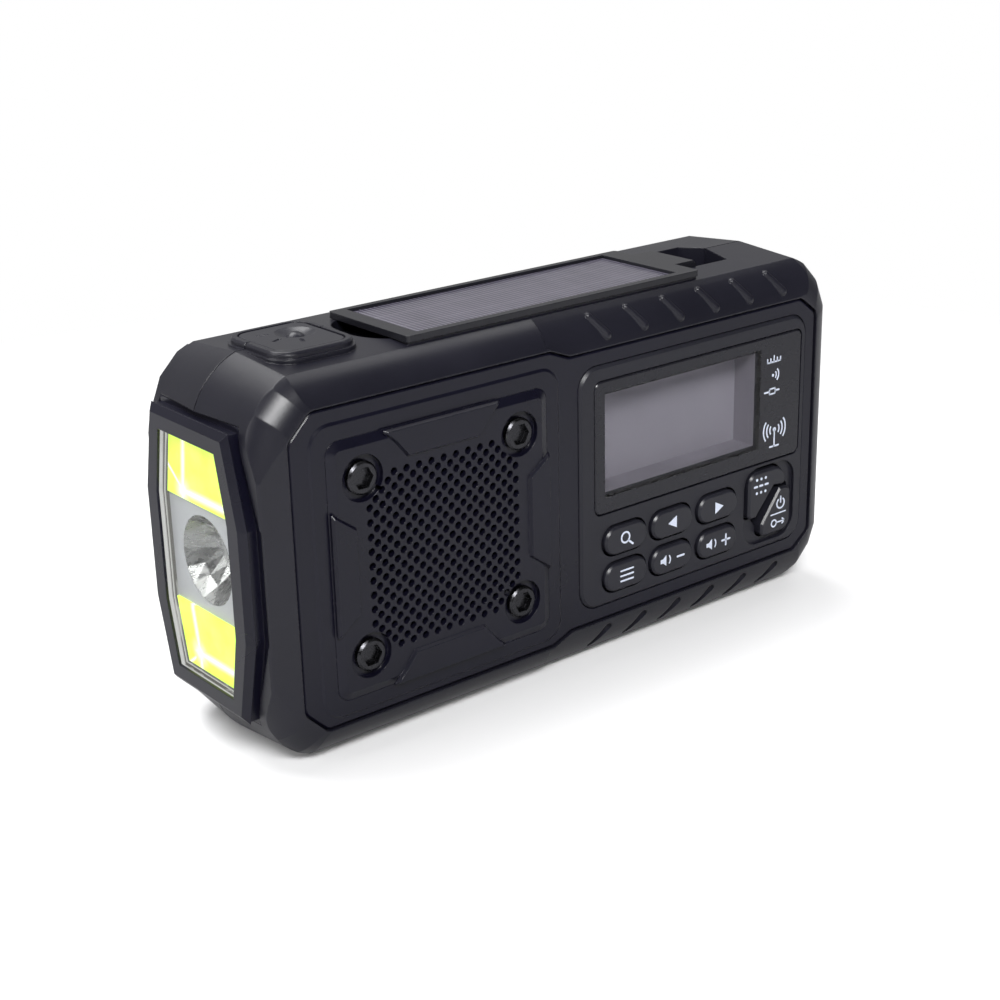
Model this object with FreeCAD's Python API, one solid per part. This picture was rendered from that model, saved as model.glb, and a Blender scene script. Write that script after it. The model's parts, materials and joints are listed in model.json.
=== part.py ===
import FreeCAD, Part
import math
import os
from FreeCAD import Vector

# Emergency radio with a hinged solar flap, an end lamp and a fold-out crank, in millimetres.
# +X runs along the radio to the right, the front faces -Y and +Z is up.
# The origin is the centre of the base pad.

# ---- casing ----
MID_Z = 42.4  # height of the casing's middle plane above the base
HALF_HEIGHT = 42.1
HALF_LENGTH = 83.3
END_RADIUS = 17.2
END_CENTRE_Z = 25.86  # the end rounding's centre, above and below the middle plane
DRAFT = 0.076  # inset per millimetre away from the parting plane
FRONT_Y = -22.7
REAR_Y = 22.5
CREASE_DEPTH = 17.5  # the edge rounding starts this far from the parting plane
WALL = 2.0
FRONT_WALL_Y = -18.7  # inner face of the front wall
GROOVE = (0.15, 0.8)  # the parting groove's half width and depth

# ---- fascia plate ----
FASCIA_HALF_LENGTH = 75.0
FASCIA_LEFT_HALF = 34.13  # half height around the speaker
FASCIA_RIGHT_HALF = 31.99  # half height around the display
FASCIA_STEP_X = (-8.76, -3.41)
FASCIA_LEFT_CHAMFER = (5.3, 5.3)
FASCIA_RIGHT_CHAMFER = (5.4, 4.07)
FASCIA_Y = -22.4
FASCIA_SEAT_Y = -20.5
FASCIA_GAP = 0.25
FASCIA_CORNER = 2.6
LIP = 0.55
LIP_CORNER = 3.0
CORNER_DIRECTIONS = (22.5, 45.0, 67.5)  # degrees above the length axis of each corner's facets

# ---- speaker grille ----
GRILLE_X = -38.6
GRILLE_Z = MID_Z - 0.87
GRILLE_HALF_X = 28.3
GRILLE_HALF_Z = 28.0
GRILLE_RISE = 0.8
TAB_RISE = 0.8
HOLE_PITCH = 3.15
HOLE_RADIUS = 0.8
SCREW_OFFSET = (20.17, 19.26)
SCREW_RECESS_RADIUS = 4.95
SCREW_HEAD_RADIUS = 3.55
SPEAKER_RADIUS = 20.5

# ---- control panel ----
PANEL_X = (-0.9, 71.5)
PANEL_Z = (MID_Z - 28.4, MID_Z + 28.4)
PANEL_RADIUS = 5.0
PANEL_Y = -23.0
LENS_X = (3.4, 69.6)
LENS_Z = (MID_Z - 6.1, MID_Z + 24.8)
LCD_X = (7.1, 54.8)
LCD_Z = (MID_Z - 1.4, MID_Z + 21.3)
LCD_Y = -15.6
BUTTON_COLUMNS = (12.1, 26.6, 41.6)
BUTTON_ROWS = (MID_Z - 13.2, MID_Z - 22.1)
BUTTON_SIZE = (12.9, 6.7)
BUTTON_GAP = 0.5
BUTTON_Y = -24.0
BUTTON_TRAVEL = 0.6
PAIR_X = (51.2, 68.7)
PAIR_Z = (MID_Z - 26.8, MID_Z - 7.1)

# ---- lamp end ----
LAMP_FACE_X = -84.7
LAMP_WAIST = 12.0  # half height of the bezel's straight sides
TORCH_RADIUS = 9.6

# ---- solar flap ----
FLAP_X = (-42.0, 40.6)
FLAP_Y = (-17.3, 11.1)
FLAP_TOP = MID_Z + 42.9
FLAP_RIM = 1.4  # height of the flap's visible side
CELL_X = (-38.3, 35.2)
CELL_Y = (-15.4, 9.5)
TONGUE_X = 47.4
TONGUE_Y = (-9.4, 4.6)
TONGUE_SLOT_Z = MID_Z + 33.2
FLAP_PIN = (44.3, MID_Z + 39.0)
FLAP_PIN_RADIUS = 1.2

# ---- lamp button on the top ----
LAMP_BUTTON = (-59.75, -2.0)
LAMP_BUTTON_HALF = (9.75, 11.0)
LAMP_BUTTON_TOP = MID_Z + 43.4
LAMP_BUTTON_SEAT = MID_Z + 39.2
LAMP_BUTTON_TRAVEL = 0.8

# ---- crank and generator ----
CRANK_Z = 39.6
WELL_RADIUS = 31.0
WELL_FLOOR_Y = 6.0
SHAFT_RADIUS = 3.0
RUNNING_GAP = 0.05
HUB_RADIUS = 15.6
FOLD_PIN_X = 13.0
FOLD_PIN_Y = 22.9
FOLD_PIN_RADIUS = 1.5
ARM_Y = (16.5, 21.5)
KNOB_X = -21.7
KNOB_RADIUS = 5.8
GEAR_MODULE = 0.8
DRIVE_TEETH = 40
IDLER_PINION_TEETH = 10
IDLER_TEETH = 36
DYNAMO_TEETH = 10
IDLER_BEARING = math.radians(25.0)
DYNAMO_BEARING = math.radians(60.0)
DRIVE_PLANE = (0.2, 3.0)
SECOND_PLANE = (-2.8, -0.4)
GEAR_PLATE_Y = (-4.4, -3.2)
DYNAMO_RADIUS = 12.0

# ---- aerial ----
AERIAL_Y = 20.2
AERIAL_Z = MID_Z + 34.2
SWIVEL_X = -68.0
ELBOW_X = -60.0
TUBE_X = (-56.0, 62.0)
TUBE_RADII = (3.1, 2.4, 1.7, 1.0)  # outer radius of each section, largest first
TUBE_WALL = 0.64
TRAY_Y = 17.0
TRAY_Z = AERIAL_Z - 3.5

# ---- charging ports ----
PORT_Y = (-7.0, 7.0)
PORT_Z = (20.0, 52.0)
COVER_X = (80.6, 82.4)
COVER_Z = (34.4, 51.8)
JACK_RADIUS = 1.8
JACK_Z = 28.0
USB_Z = 43.0


# ---- helpers ----
def segment_path(path, place):
    """A closed wire: each entry is a point, or a mid point and an end point for an arc."""
    edges = []
    here = path[0]
    for entry in path[1:] + [path[0]]:
        if len(entry) == 4:
            edges.append(Part.Arc(place(*here), place(*entry[:2]), place(*entry[2:])).toShape())
            here = entry[2:]
        elif math.dist(here, entry) > 1e-6:
            edges.append(Part.LineSegment(place(*here), place(*entry)).toShape())
            here = entry
    return Part.Wire(edges)


def place_xz(y):
    return lambda x, z: Vector(x, y, z)


def place_yz(x):
    return lambda y, z: Vector(x, y, z)


def place_xy(z):
    return lambda x, y: Vector(x, y, z)


def slab_y(path, low, high):
    return Part.Face(segment_path(path, place_xz(low))).extrude(Vector(0, high - low, 0))


def slab_x(path, low, high):
    return Part.Face(segment_path(path, place_yz(low))).extrude(Vector(high - low, 0, 0))


def slab_z(path, low, high):
    return Part.Face(segment_path(path, place_xy(low))).extrude(Vector(0, 0, high - low))


def block(x, y, z):
    return Part.makeBox(x[1] - x[0], y[1] - y[0], z[1] - z[0], Vector(x[0], y[0], z[0]))


def rod(centre, direction, radius, length):
    return Part.makeCylinder(radius, length, Vector(*centre), Vector(*direction))


def rod_y(x, z, radius, low, high):
    return rod((x, low, z), (0, 1, 0), radius, high - low)


def rod_z(x, y, radius, low, high):
    return rod((x, y, low), (0, 0, 1), radius, high - low)


def rod_x(y, z, radius, low, high):
    return rod((low, y, z), (1, 0, 0), radius, high - low)


def rounded(points, radius):
    """A closed path through points with every corner rounded; a point may carry its own radius."""
    path = []
    count = len(points)
    for i, corner in enumerate(points):
        own = corner[2] if len(corner) == 3 else radius
        before = Vector(points[i - 1][0] - corner[0], points[i - 1][1] - corner[1], 0)
        after_point = points[(i + 1) % count]
        after = Vector(after_point[0] - corner[0], after_point[1] - corner[1], 0)
        before.normalize()
        after.normalize()
        half = before.getAngle(after) / 2
        run = own / math.tan(half)
        bisector = before + after
        bisector.normalize()
        tip = Vector(corner[0], corner[1], 0)
        start = tip + before * run
        middle = tip + bisector * (own / math.sin(half) - own)
        end = tip + after * run
        path.append((start.x, start.y))
        path.append((middle.x, middle.y, end.x, end.y))
    return path


def rectangle(a, b, grow=0.0):
    """The corners of a rectangle from a[0] to a[1] and b[0] to b[1], counterclockwise."""
    low_a, high_a = a[0] - grow, a[1] + grow
    low_b, high_b = b[0] - grow, b[1] + grow
    return [(low_a, low_b), (high_a, low_b), (high_a, high_b), (low_a, high_b)]


def offset_polygon(points, distance):
    """A counterclockwise polygon with every side moved inwards by distance."""
    moved = []
    count = len(points)
    for i, corner in enumerate(points):
        before = points[i - 1]
        after = points[(i + 1) % count]
        in_dir = Vector(corner[0] - before[0], corner[1] - before[1], 0)
        out_dir = Vector(after[0] - corner[0], after[1] - corner[1], 0)
        in_dir.normalize()
        out_dir.normalize()
        in_normal = Vector(-in_dir.y, in_dir.x, 0)
        out_normal = Vector(-out_dir.y, out_dir.x, 0)
        mitre = in_normal + out_normal
        scale = distance / (1 + in_normal.dot(out_normal))
        moved.append((corner[0] + mitre.x * scale, corner[1] + mitre.y * scale))
    return moved


def tapered(points, radius, place, low, high, inset):
    """A raised pad: its outline shrinks by inset from level low to level high."""
    base = segment_path(rounded(points, radius), place(low))
    top = segment_path(rounded(offset_polygon(points, inset), max(radius - inset, 0.3)), place(high))
    return Part.makeLoft([base, top], True, True)


def arc_middle(start, end, radius, away_from):
    """The middle of the arc from start to end that bulges away from a point."""
    chord = Vector(end[0] - start[0], end[1] - start[1], 0)
    centre = Vector((start[0] + end[0]) / 2, (start[1] + end[1]) / 2, 0)
    sagitta = radius - math.sqrt(radius**2 - (chord.Length / 2) ** 2)
    normal = Vector(-chord.y, chord.x, 0)
    normal.normalize()
    if normal.dot(centre - Vector(away_from[0], away_from[1], 0)) < 0:
        normal = -normal
    bulge = centre + normal * sagitta
    return (bulge.x, bulge.y)


def merged(shapes):
    whole = shapes[0].fuse(shapes[1:]) if len(shapes) > 1 else shapes[0]
    return whole.removeSplitter()


# ---- casing ----
def body_outline(inset):
    """The casing's outline seen from the front: straight ends, wide end roundings and flat top and base."""
    end = HALF_LENGTH - inset
    top = HALF_HEIGHT - inset
    radius = END_RADIUS - inset
    centre_x = HALF_LENGTH - END_RADIUS
    top_x = centre_x + math.sqrt(radius**2 - (top - END_CENTRE_Z) ** 2)
    half_angle = math.atan2(top - END_CENTRE_Z, top_x - centre_x) / 2
    mid_x = centre_x + radius * math.cos(half_angle)
    mid_z = END_CENTRE_Z + radius * math.sin(half_angle)
    path = [
        (end, -END_CENTRE_Z),
        (end, END_CENTRE_Z),
        (mid_x, mid_z, top_x, top),
        (-top_x, top),
        (-mid_x, mid_z, -end, END_CENTRE_Z),
        (-end, -END_CENTRE_Z),
        (-mid_x, -mid_z, -top_x, -top),
        (top_x, -top),
        (mid_x, -mid_z, end, -END_CENTRE_Z),
    ]
    return [tuple(v + MID_Z * (i % 2) for i, v in enumerate(entry)) for entry in path]


def rounding_limit(normal, reach_face, reach_crease, radius, side):
    """Everything on the inner side of one rounded edge, whose outward direction is normal = (x, z)."""
    face_y = FRONT_Y if side < 0 else REAR_Y
    crease_y = side * CREASE_DEPTH
    start = (reach_face, face_y)
    end = (reach_crease, crease_y)
    middle = arc_middle(start, end, radius, (0, 0))
    path = [
        (-150, face_y),
        start,
        middle + end,
        (reach_crease + 30, crease_y),
        (reach_crease + 30, -side),
        (-150, -side),
    ]
    across = Vector(-normal[1], 0, normal[0])
    centre = Vector(0, 0, MID_Z) - across * 150

    def place(reach, y):
        return centre + Vector(normal[0] * reach, y, normal[1] * reach)

    return Part.Face(segment_path(path, place)).extrude(across * 300)


def corner_reach(normal):
    """How far the end rounding reaches in a diagonal direction at the crease."""
    centre_x = HALF_LENGTH - END_RADIUS
    radius = END_RADIUS - DRAFT * CREASE_DEPTH
    return centre_x * abs(normal[0]) + END_CENTRE_Z * abs(normal[1]) + radius


def face_reach(normal, half_height, chamfer):
    """How far the lip around the fascia reaches in a direction, with its corners rounded."""
    corners = [
        (FASCIA_HALF_LENGTH, half_height - chamfer[1]),
        (FASCIA_HALF_LENGTH - chamfer[0], half_height),
    ]
    slant = math.hypot(*chamfer)
    chamfer_normal = (chamfer[1] / slant, chamfer[0] / slant)
    reaches = []
    for (x, z), flat in zip(corners, ((1, 0), (0, 1))):
        shared = LIP_CORNER / (1 + flat[0] * chamfer_normal[0] + flat[1] * chamfer_normal[1])
        centre_x = x - shared * (flat[0] + chamfer_normal[0])
        centre_z = z - shared * (flat[1] + chamfer_normal[1])
        reaches.append(abs(normal[0]) * centre_x + abs(normal[1]) * centre_z + LIP_CORNER)
    return max(reaches) + LIP


def edge_list(side):
    """Each rounded edge as direction, reach at the outer face, reach at the crease and radius."""
    top_crease = HALF_HEIGHT - DRAFT * CREASE_DEPTH
    edges = [((1, 0), FASCIA_HALF_LENGTH + LIP, HALF_LENGTH - DRAFT * CREASE_DEPTH, 9.0)]
    for up in (-1, 1):
        edges.append(((0, up), FASCIA_LEFT_HALF + LIP, top_crease, 11.4))
        for right in (-1, 1):
            display = right > 0 and side < 0
            chamfer = FASCIA_RIGHT_CHAMFER if display else FASCIA_LEFT_CHAMFER
            half = FASCIA_RIGHT_HALF if display else FASCIA_LEFT_HALF
            for degrees in CORNER_DIRECTIONS:
                angle = math.radians(degrees)
                normal = (right * math.cos(angle), up * math.sin(angle))
                edges.append((normal, face_reach(normal, half, chamfer), corner_reach(normal), 10.0))
    return edges


def lamp_end_limit(side, inset):
    """Everything inside the full, tightly rounded edge beside the lamp."""
    face_y = abs(FRONT_Y if side < 0 else REAR_Y) - inset
    lip_x = FASCIA_HALF_LENGTH + LIP - 1.3 * inset
    corner = (-81.8 + inset, side * (face_y - 1.4), 1.6)
    far = [(150, -side, 0.1), (150, side * face_y, 0.1)]
    near = [(-lip_x, side * face_y, 2.0), corner, (-88, -side, 0.1)]
    path = rounded(far + near, 1)
    return slab_z(path, -60, 140)


def display_side_cut(inset):
    """The wedge removed above and below the lower, display side of the fascia."""
    top_crease = HALF_HEIGHT - DRAFT * CREASE_DEPTH
    start = (FRONT_Y, FASCIA_RIGHT_HALF + LIP - inset)
    end = (-CREASE_DEPTH, top_crease - inset)
    middle = arc_middle(start, end, 17.0, (0, 0))
    wedges = []
    for up in (-1, 1):
        path = [
            (start[0] - 5, MID_Z + up * start[1]),
            (start[0], MID_Z + up * start[1]),
            (middle[0], MID_Z + up * middle[1], end[0], MID_Z + up * end[1]),
            (end[0], MID_Z + up * 60),
            (start[0] - 5, MID_Z + up * 60),
        ]
        wedge = slab_x(path, FASCIA_STEP_X[0] - 1, 120)
        slope = (FASCIA_STEP_X[1] - FASCIA_STEP_X[0]) / (FASCIA_LEFT_HALF - FASCIA_RIGHT_HALF)
        low_z = FASCIA_RIGHT_HALF + LIP
        keep = [
            (FASCIA_STEP_X[1] + slope * 4, MID_Z + up * (low_z - 4)),
            (FASCIA_STEP_X[1] - slope * 12, MID_Z + up * (low_z + 12)),
            (-90, MID_Z + up * (low_z + 12)),
            (-90, MID_Z + up * (low_z - 4)),
        ]
        wedges.append(wedge.cut(slab_y(keep, -40, 0)))
    return wedges


def half_block(side, inset):
    """One half of the casing as a solid, with all its faces moved in by inset."""
    far_y = (FRONT_Y if side < 0 else REAR_Y) - side * inset
    far_inset = inset + DRAFT * abs(far_y)
    outlines = [
        segment_path(body_outline(inset), place_xz(0)),
        segment_path(body_outline(far_inset), place_xz(far_y)),
    ]
    solid = Part.makeLoft(outlines, True, True)
    solid = solid.common(lamp_end_limit(side, inset))
    for normal, reach_face, reach_crease, radius in edge_list(side):
        limit = rounding_limit(normal, reach_face - 1.3 * inset, reach_crease - 1.1 * inset, radius, side)
        solid = solid.common(limit)
    if side < 0:
        solid = solid.cut(display_side_cut(inset))
    return solid


def fascia_outline(grow):
    """The fascia's outline, counterclockwise seen with +X right and +Z up."""
    left, right = FASCIA_HALF_LENGTH, FASCIA_HALF_LENGTH
    points = []
    for up in (-1, 1):
        left_half = up * FASCIA_LEFT_HALF
        right_half = up * FASCIA_RIGHT_HALF
        side = [
            (-left, left_half - up * FASCIA_LEFT_CHAMFER[1]),
            (-left + FASCIA_LEFT_CHAMFER[0], left_half),
            (FASCIA_STEP_X[0], left_half),
            (FASCIA_STEP_X[1], right_half),
            (right - FASCIA_RIGHT_CHAMFER[0], right_half),
            (right, right_half - up * FASCIA_RIGHT_CHAMFER[1]),
        ]
        points += side if up < 0 else side[::-1]
    moved = [(x, z + MID_Z) for x, z in points]
    return offset_polygon(moved, -grow)


def rib_tools():
    """The slanted grip ribs on the display side: raised on the top edge, sunk on the base edge."""
    raised, sunk = [], []
    top_crease = HALF_HEIGHT - DRAFT * CREASE_DEPTH
    high = Vector(0, -CREASE_DEPTH - 1.6, top_crease - 1.9)
    low = Vector(0, FRONT_Y + 1.0, FASCIA_RIGHT_HALF + LIP + 2.15)
    for i in range(6):
        x_top = 4.8 + 11.15 * i
        start = high + Vector(x_top, 0, 0)
        end = low + Vector(x_top + 3.1, 0, 0)
        for up, store in ((1, raised), (-1, sunk)):
            tail = Vector(start.x, start.y, MID_Z + up * start.z)
            nose = Vector(end.x, end.y, MID_Z + up * end.z)
            spine = nose - tail
            cone = Part.makeCone(0.9, 1.2, spine.Length, tail, spine)
            store.append(merged([cone, Part.makeSphere(0.9, tail), Part.makeSphere(1.2, nose)]))
    return raised, sunk


def lamp_octagon(half_narrow, half_tall, half_wide, waist=LAMP_WAIST):
    """The lamp's outline in Y and Z: narrow at top and bottom, widest along the waist."""
    return [
        (-half_narrow, MID_Z - half_tall),
        (half_narrow, MID_Z - half_tall),
        (half_wide, MID_Z - waist),
        (half_wide, MID_Z + waist),
        (half_narrow, MID_Z + half_tall),
        (-half_narrow, MID_Z + half_tall),
        (-half_wide, MID_Z + waist),
        (-half_wide, MID_Z - waist),
    ]


LAMP_FLANGE = (15.0, 31.9, 21.2)
LAMP_FLANGE_X = -81.2


def flap_footprint(grow):
    return rectangle(FLAP_X, FLAP_Y, grow)


def pocket_outline(grow):
    """The well beyond the flap's tongue, which gives the tongue room to turn."""
    points = [(46.0, -9.6), (57.6, -9.6), (60.4, 0.7), (58.2, 7.2), (46.0, 7.2)]
    return offset_polygon(points, -grow)


SCOOP = (-36.5, -1.5, 11.0)  # the finger scoop's centre and radius at the flap's free end


def lamp_button_outline(grow, half=LAMP_BUTTON_HALF):
    x, y = LAMP_BUTTON
    return rectangle((x - half[0], x + half[0]), (y - half[1], y + half[1]), grow)


READING_LAMP_BOARD_Z = FLAP_TOP - FLAP_RIM - 3.35  # top face of the board under the flap


def linings():
    """Extra material inside the shell: around the scoop, tongue well, hinge, lamp button and base pad."""
    x, y, radius = SCOOP
    top = MID_Z + 45
    pieces = [
        rod_z(x, y, radius + 1.5, FLAP_TOP - 5.6, top),
        slab_z(pocket_outline(1.4), TONGUE_SLOT_Z - 1.4, top),
        block((37.5, 49.0), (TONGUE_Y[0] - 4.5, TONGUE_Y[1] + 4.5), (TONGUE_SLOT_Z - 1.4, top)),
        slab_z(rounded(flap_footprint(-2.0), 1.5), READING_LAMP_BOARD_Z, top),
        slab_z(rounded(lamp_button_outline(1.0), 6.0), LAMP_BUTTON_SEAT - 2.0, top),
        block((-62, 62), (-13, 13), (MID_Z - HALF_HEIGHT, TRAY_FLOOR_Z)),
    ]
    return pieces


def top_cuts():
    """Cut from the casing's top: flap seat, scoop, hinge slot, tongue well and lamp button seat."""
    x, y, radius = SCOOP
    top = MID_Z + 50
    flap_base = FLAP_TOP - FLAP_RIM
    inner = (CELL_X[0] - 0.2, FLAP_X[1] + 0.4), (CELL_Y[0] - 0.2, CELL_Y[1] + 0.2)
    pieces = [
        slab_z(flap_footprint(0.25), flap_base - 0.1, top),
        slab_z(rectangle(*inner), flap_base - 0.9, top),
        rod_z(x, y, radius, FLAP_TOP - 4.4, top),
        block((39.2, 47.0), (TONGUE_Y[0] - 0.2, TONGUE_Y[1] + 0.2), (TONGUE_SLOT_Z, top)),
        block((FLAP_X[1], 47.0), (TONGUE_Y[0] - 0.2, TONGUE_Y[1] + 0.2), (MID_Z + 40.5, top)),
        slab_z(pocket_outline(0), TONGUE_SLOT_Z, top),
        slab_z(rounded(lamp_button_outline(-1.4), 3.6), LAMP_BUTTON_SEAT, top),
        slab_z(rounded(lamp_button_outline(-3.5), 2.0), MID_Z + 35, top),
        rod_y(FLAP_PIN[0], FLAP_PIN[1], FLAP_PIN_RADIUS, TONGUE_Y[0] - 3.2, TONGUE_Y[1] + 3.2),
    ]
    return pieces


def raised_tops(side):
    """What stands above one casing half: the rim around the lamp button and the bed under the flap."""
    low = MID_Z + 38.0
    step = slab_z(rounded(lamp_button_outline(0.6), 5.6), low, MID_Z + HALF_HEIGHT)
    wall = slab_z(rounded(lamp_button_outline(0), 5.0), low, LAMP_BUTTON_TOP - 0.5)
    crown = tapered(lamp_button_outline(0), 5.0, place_xy, LAMP_BUTTON_TOP - 0.5, LAMP_BUTTON_TOP, 0.45)
    bed = slab_z(flap_footprint(-0.5), READING_LAMP_BOARD_Z, FLAP_TOP - FLAP_RIM - 0.1)
    near, far = sorted((side * GROOVE[0], side * 40))
    return merged([step, wall, crown, bed]).common(block((-90, 90), (near, far), (low, low + 20)))


def reading_lamp_window(grow):
    return rectangle((-21.0, 21.0), (-11.5, -3.5), grow)


SCREW_POSTS = [
    (-69.0, MID_Z - 31.5),
    (69.0, MID_Z - 31.5),
    (-67.4, MID_Z + 25.5),
    (69.0, MID_Z + 25.5),
]


def parting_groove():
    """The fine groove that runs around the casing where its halves meet."""
    half, depth = GROOVE
    outer = slab_y(body_outline(-1), -half, half)
    return outer.cut(slab_y(body_outline(depth), -1, 1))


def board_posts():
    """Stubs behind the front wall that carry the main board."""
    return [rod_y(-3.0, MID_Z + z, 2.0, FRONT_WALL_Y - 0.5, MAIN_BOARD_Y[0]) for z in (-5, 28)]


def port_opening(grow):
    return rounded(rectangle(PORT_Y, PORT_Z, grow), 2.5)


def make_front_case():
    outer = half_block(-1, 0)
    inner = half_block(-1, WALL)
    inner = inner.cut(block((-100, 100), (-40, FRONT_WALL_Y), (-10, 100)))
    shell = outer.cut(inner)
    lining = merged(linings()).common(outer)
    posts = [rod_y(x, z, 3.0, FRONT_WALL_Y - 0.5, -0.2) for x, z in SCREW_POSTS]
    raised, sunk = rib_tools()
    shell = shell.fuse([lining, raised_tops(-1)] + [p.common(outer) for p in posts] + raised)
    cuts = list(sunk)
    cuts.append(slab_y(rounded(fascia_outline(FASCIA_GAP), FASCIA_CORNER), FRONT_Y - 2, FASCIA_SEAT_Y))
    cuts.append(rod_y(GRILLE_X, GRILLE_Z, SPEAKER_RADIUS - 1.5, -25, FRONT_WALL_Y + 1))
    cuts.append(slab_y(rounded(rectangle(PANEL_X, PANEL_Z, -2.2), 3.0), -25, FRONT_WALL_Y + 1))
    cuts.append(parting_groove())
    cuts.append(slab_x(lamp_octagon(*LAMP_FLANGE), -100, -78.0))
    cuts.append(slab_x(lamp_octagon(13.2, 28.6, 17.0), -100, -74.0))
    cuts += top_cuts()
    cuts.append(slab_z(reading_lamp_window(0.05), MID_Z + 34, MID_Z + 50))
    cuts.append(slab_x(port_opening(0.2), 76.0, 100))
    cuts += [rod_y(x, z, 1.25, -16.0, 5) for x, z in SCREW_POSTS]
    cuts.append(slab_z(rounded(rectangle((-60, 60), (-11, 11), 0.05), 5.05), -5, 1.8))
    return shell.cut(cuts).fuse(board_posts())


def make_rear_case():
    outer = half_block(1, 0)
    shell = outer.cut(half_block(1, WALL))
    lining = merged(linings())
    cup = rod_y(0, CRANK_Z, WELL_RADIUS + WALL, WELL_FLOOR_Y - WALL, REAR_Y)
    tray = block((SWIVEL_X - 8, 90), (TRAY_Y - WALL, 30), (TRAY_Z - WALL, 100))
    posts = [rod_y(x, z, 4.0, WELL_FLOOR_Y - WALL, REAR_Y) for x, z in SCREW_POSTS]
    shell = shell.fuse([raised_tops(1)] + [p.common(outer) for p in [lining, cup, tray] + posts])
    cuts = [
        rod_y(0, CRANK_Z, WELL_RADIUS, WELL_FLOOR_Y, 40),
        rod_y(0, CRANK_Z, SHAFT_RADIUS + RUNNING_GAP, -5, 40),
        block((SWIVEL_X, 90), (TRAY_Y, 40), (TRAY_Z, 100)),
        rod_y(SWIVEL_X, AERIAL_Z, 4.6, TRAY_Y, 40),
        block((SWIVEL_X - 4.6, SWIVEL_X + 1), (TRAY_Y, 40), (AERIAL_Z, 100)),
        rod_y(SWIVEL_X, AERIAL_Z, 1.5 + RUNNING_GAP, TRAY_Y - 5, 40),
        parting_groove(),
        slab_x(lamp_octagon(*LAMP_FLANGE), -100, -78.0),
        slab_x(lamp_octagon(13.2, 28.6, 17.0), -100, -74.0),
        slab_x(port_opening(0.2), 76.0, 100),
        slab_z(rounded(rectangle((-60, 60), (-11, 11), 0.05), 5.05), -5, 1.8),
    ]
    cuts += top_cuts()
    cuts += [rod_y(x, z, 1.7, -5, 40) for x, z in SCREW_POSTS]
    cuts += [rod_y(x, z, 3.2, REAR_Y - 3.0, 40) for x, z in SCREW_POSTS]
    return shell.cut(cuts)


def make_case_screws():
    screws = []
    for x, z in SCREW_POSTS:
        head = rod_y(x, z, 3.0, REAR_Y - 3.0, REAR_Y - 0.6)
        shank = rod_y(x, z, 1.25, -12.0, REAR_Y - 3.0)
        slots = [block((x - 2, x + 2), (REAR_Y - 1.8, REAR_Y), (z - 0.35, z + 0.35))]
        slots.append(block((x - 0.35, x + 0.35), (REAR_Y - 1.8, REAR_Y), (z - 2, z + 2)))
        screws.append(head.fuse(shank).cut(slots))
    return Part.Compound(screws)


def make_base_pad():
    pad = tapered(rectangle((-60, 60), (-11, 11)), 5.0, place_xy, 1.8, 0.0, 0.4)
    grooves = [block((-54, 54), (y - 0.5, y + 0.5), (-1, 0.5)) for y in (-6, -2, 2, 6)]
    return pad.cut(grooves)


# ---- fascia and grille ----
def grille_outline(grow):
    x = (GRILLE_X - GRILLE_HALF_X, GRILLE_X + GRILLE_HALF_X)
    z = (GRILLE_Z - GRILLE_HALF_Z, GRILLE_Z + GRILLE_HALF_Z)
    return rectangle(x, z, grow)


def make_fascia():
    outline = fascia_outline(0)
    plate = slab_y(rounded(outline, FASCIA_CORNER), FASCIA_Y + 0.5, FASCIA_SEAT_Y)
    rim = tapered(outline, FASCIA_CORNER, place_xz, FASCIA_Y + 0.5, FASCIA_Y, 0.5)
    step_x = (GRILLE_X - 32.1, GRILLE_X + 32.1)
    step_z = (GRILLE_Z - 31.6, GRILLE_Z + 31.9)
    step = tapered(rectangle(step_x, step_z), 5.0, place_xz, FASCIA_Y + 0.01, FASCIA_Y - 0.3, 0.6)
    body = merged([plate, rim, step])
    openings = [
        slab_y(rounded(grille_outline(0.05), 3.05), -30, -10),
        slab_y(rounded(rectangle(PANEL_X, PANEL_Z, 0.2), PANEL_RADIUS + 0.2), -30, -10),
    ]
    return body.cut(openings)


def grille_tab(turn):
    """One clamp-like tab that runs from the grille's border towards the perforation."""
    level = GRILLE_Y
    points = [(-15.6, 28.0), (-12.3, 25.0), (-9.3, 21.3), (9.3, 21.3), (12.3, 25.0), (15.6, 28.0)]
    if turn % 2:
        points = [(-14.0, 28.3), (-12.4, 26.6), (-9.2, 22.3), (9.2, 22.3), (12.4, 26.6), (14.0, 28.3)]
    angle = math.radians(90 * turn)
    placed = []
    for a, b in points:
        x = a * math.cos(angle) - b * math.sin(angle)
        z = a * math.sin(angle) + b * math.cos(angle)
        placed.append((GRILLE_X + x, GRILLE_Z + z))
    edges = [math.dist(placed[i - 1], p) for i, p in enumerate(placed)]
    assert min(edges) > 0.5
    return tapered(placed, 0.4, place_xz, level + 0.01, level - TAB_RISE, 0.45)


GRILLE_Y = FASCIA_Y - 0.3 - GRILLE_RISE


def hole_centres():
    """A square lattice with a hole in the middle of every square, inside an octagon."""
    for half_i in range(-12, 13):
        for half_j in range(-12, 13):
            same_kind = half_i % 2 == half_j % 2
            if same_kind and abs(half_i) + abs(half_j) <= 20:
                yield GRILLE_X + half_i * HOLE_PITCH / 2, GRILLE_Z + half_j * HOLE_PITCH / 2


def screw_centres():
    for across in (-1, 1):
        for up in (-1, 1):
            yield GRILLE_X + across * SCREW_OFFSET[0], GRILLE_Z + up * SCREW_OFFSET[1]


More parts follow.
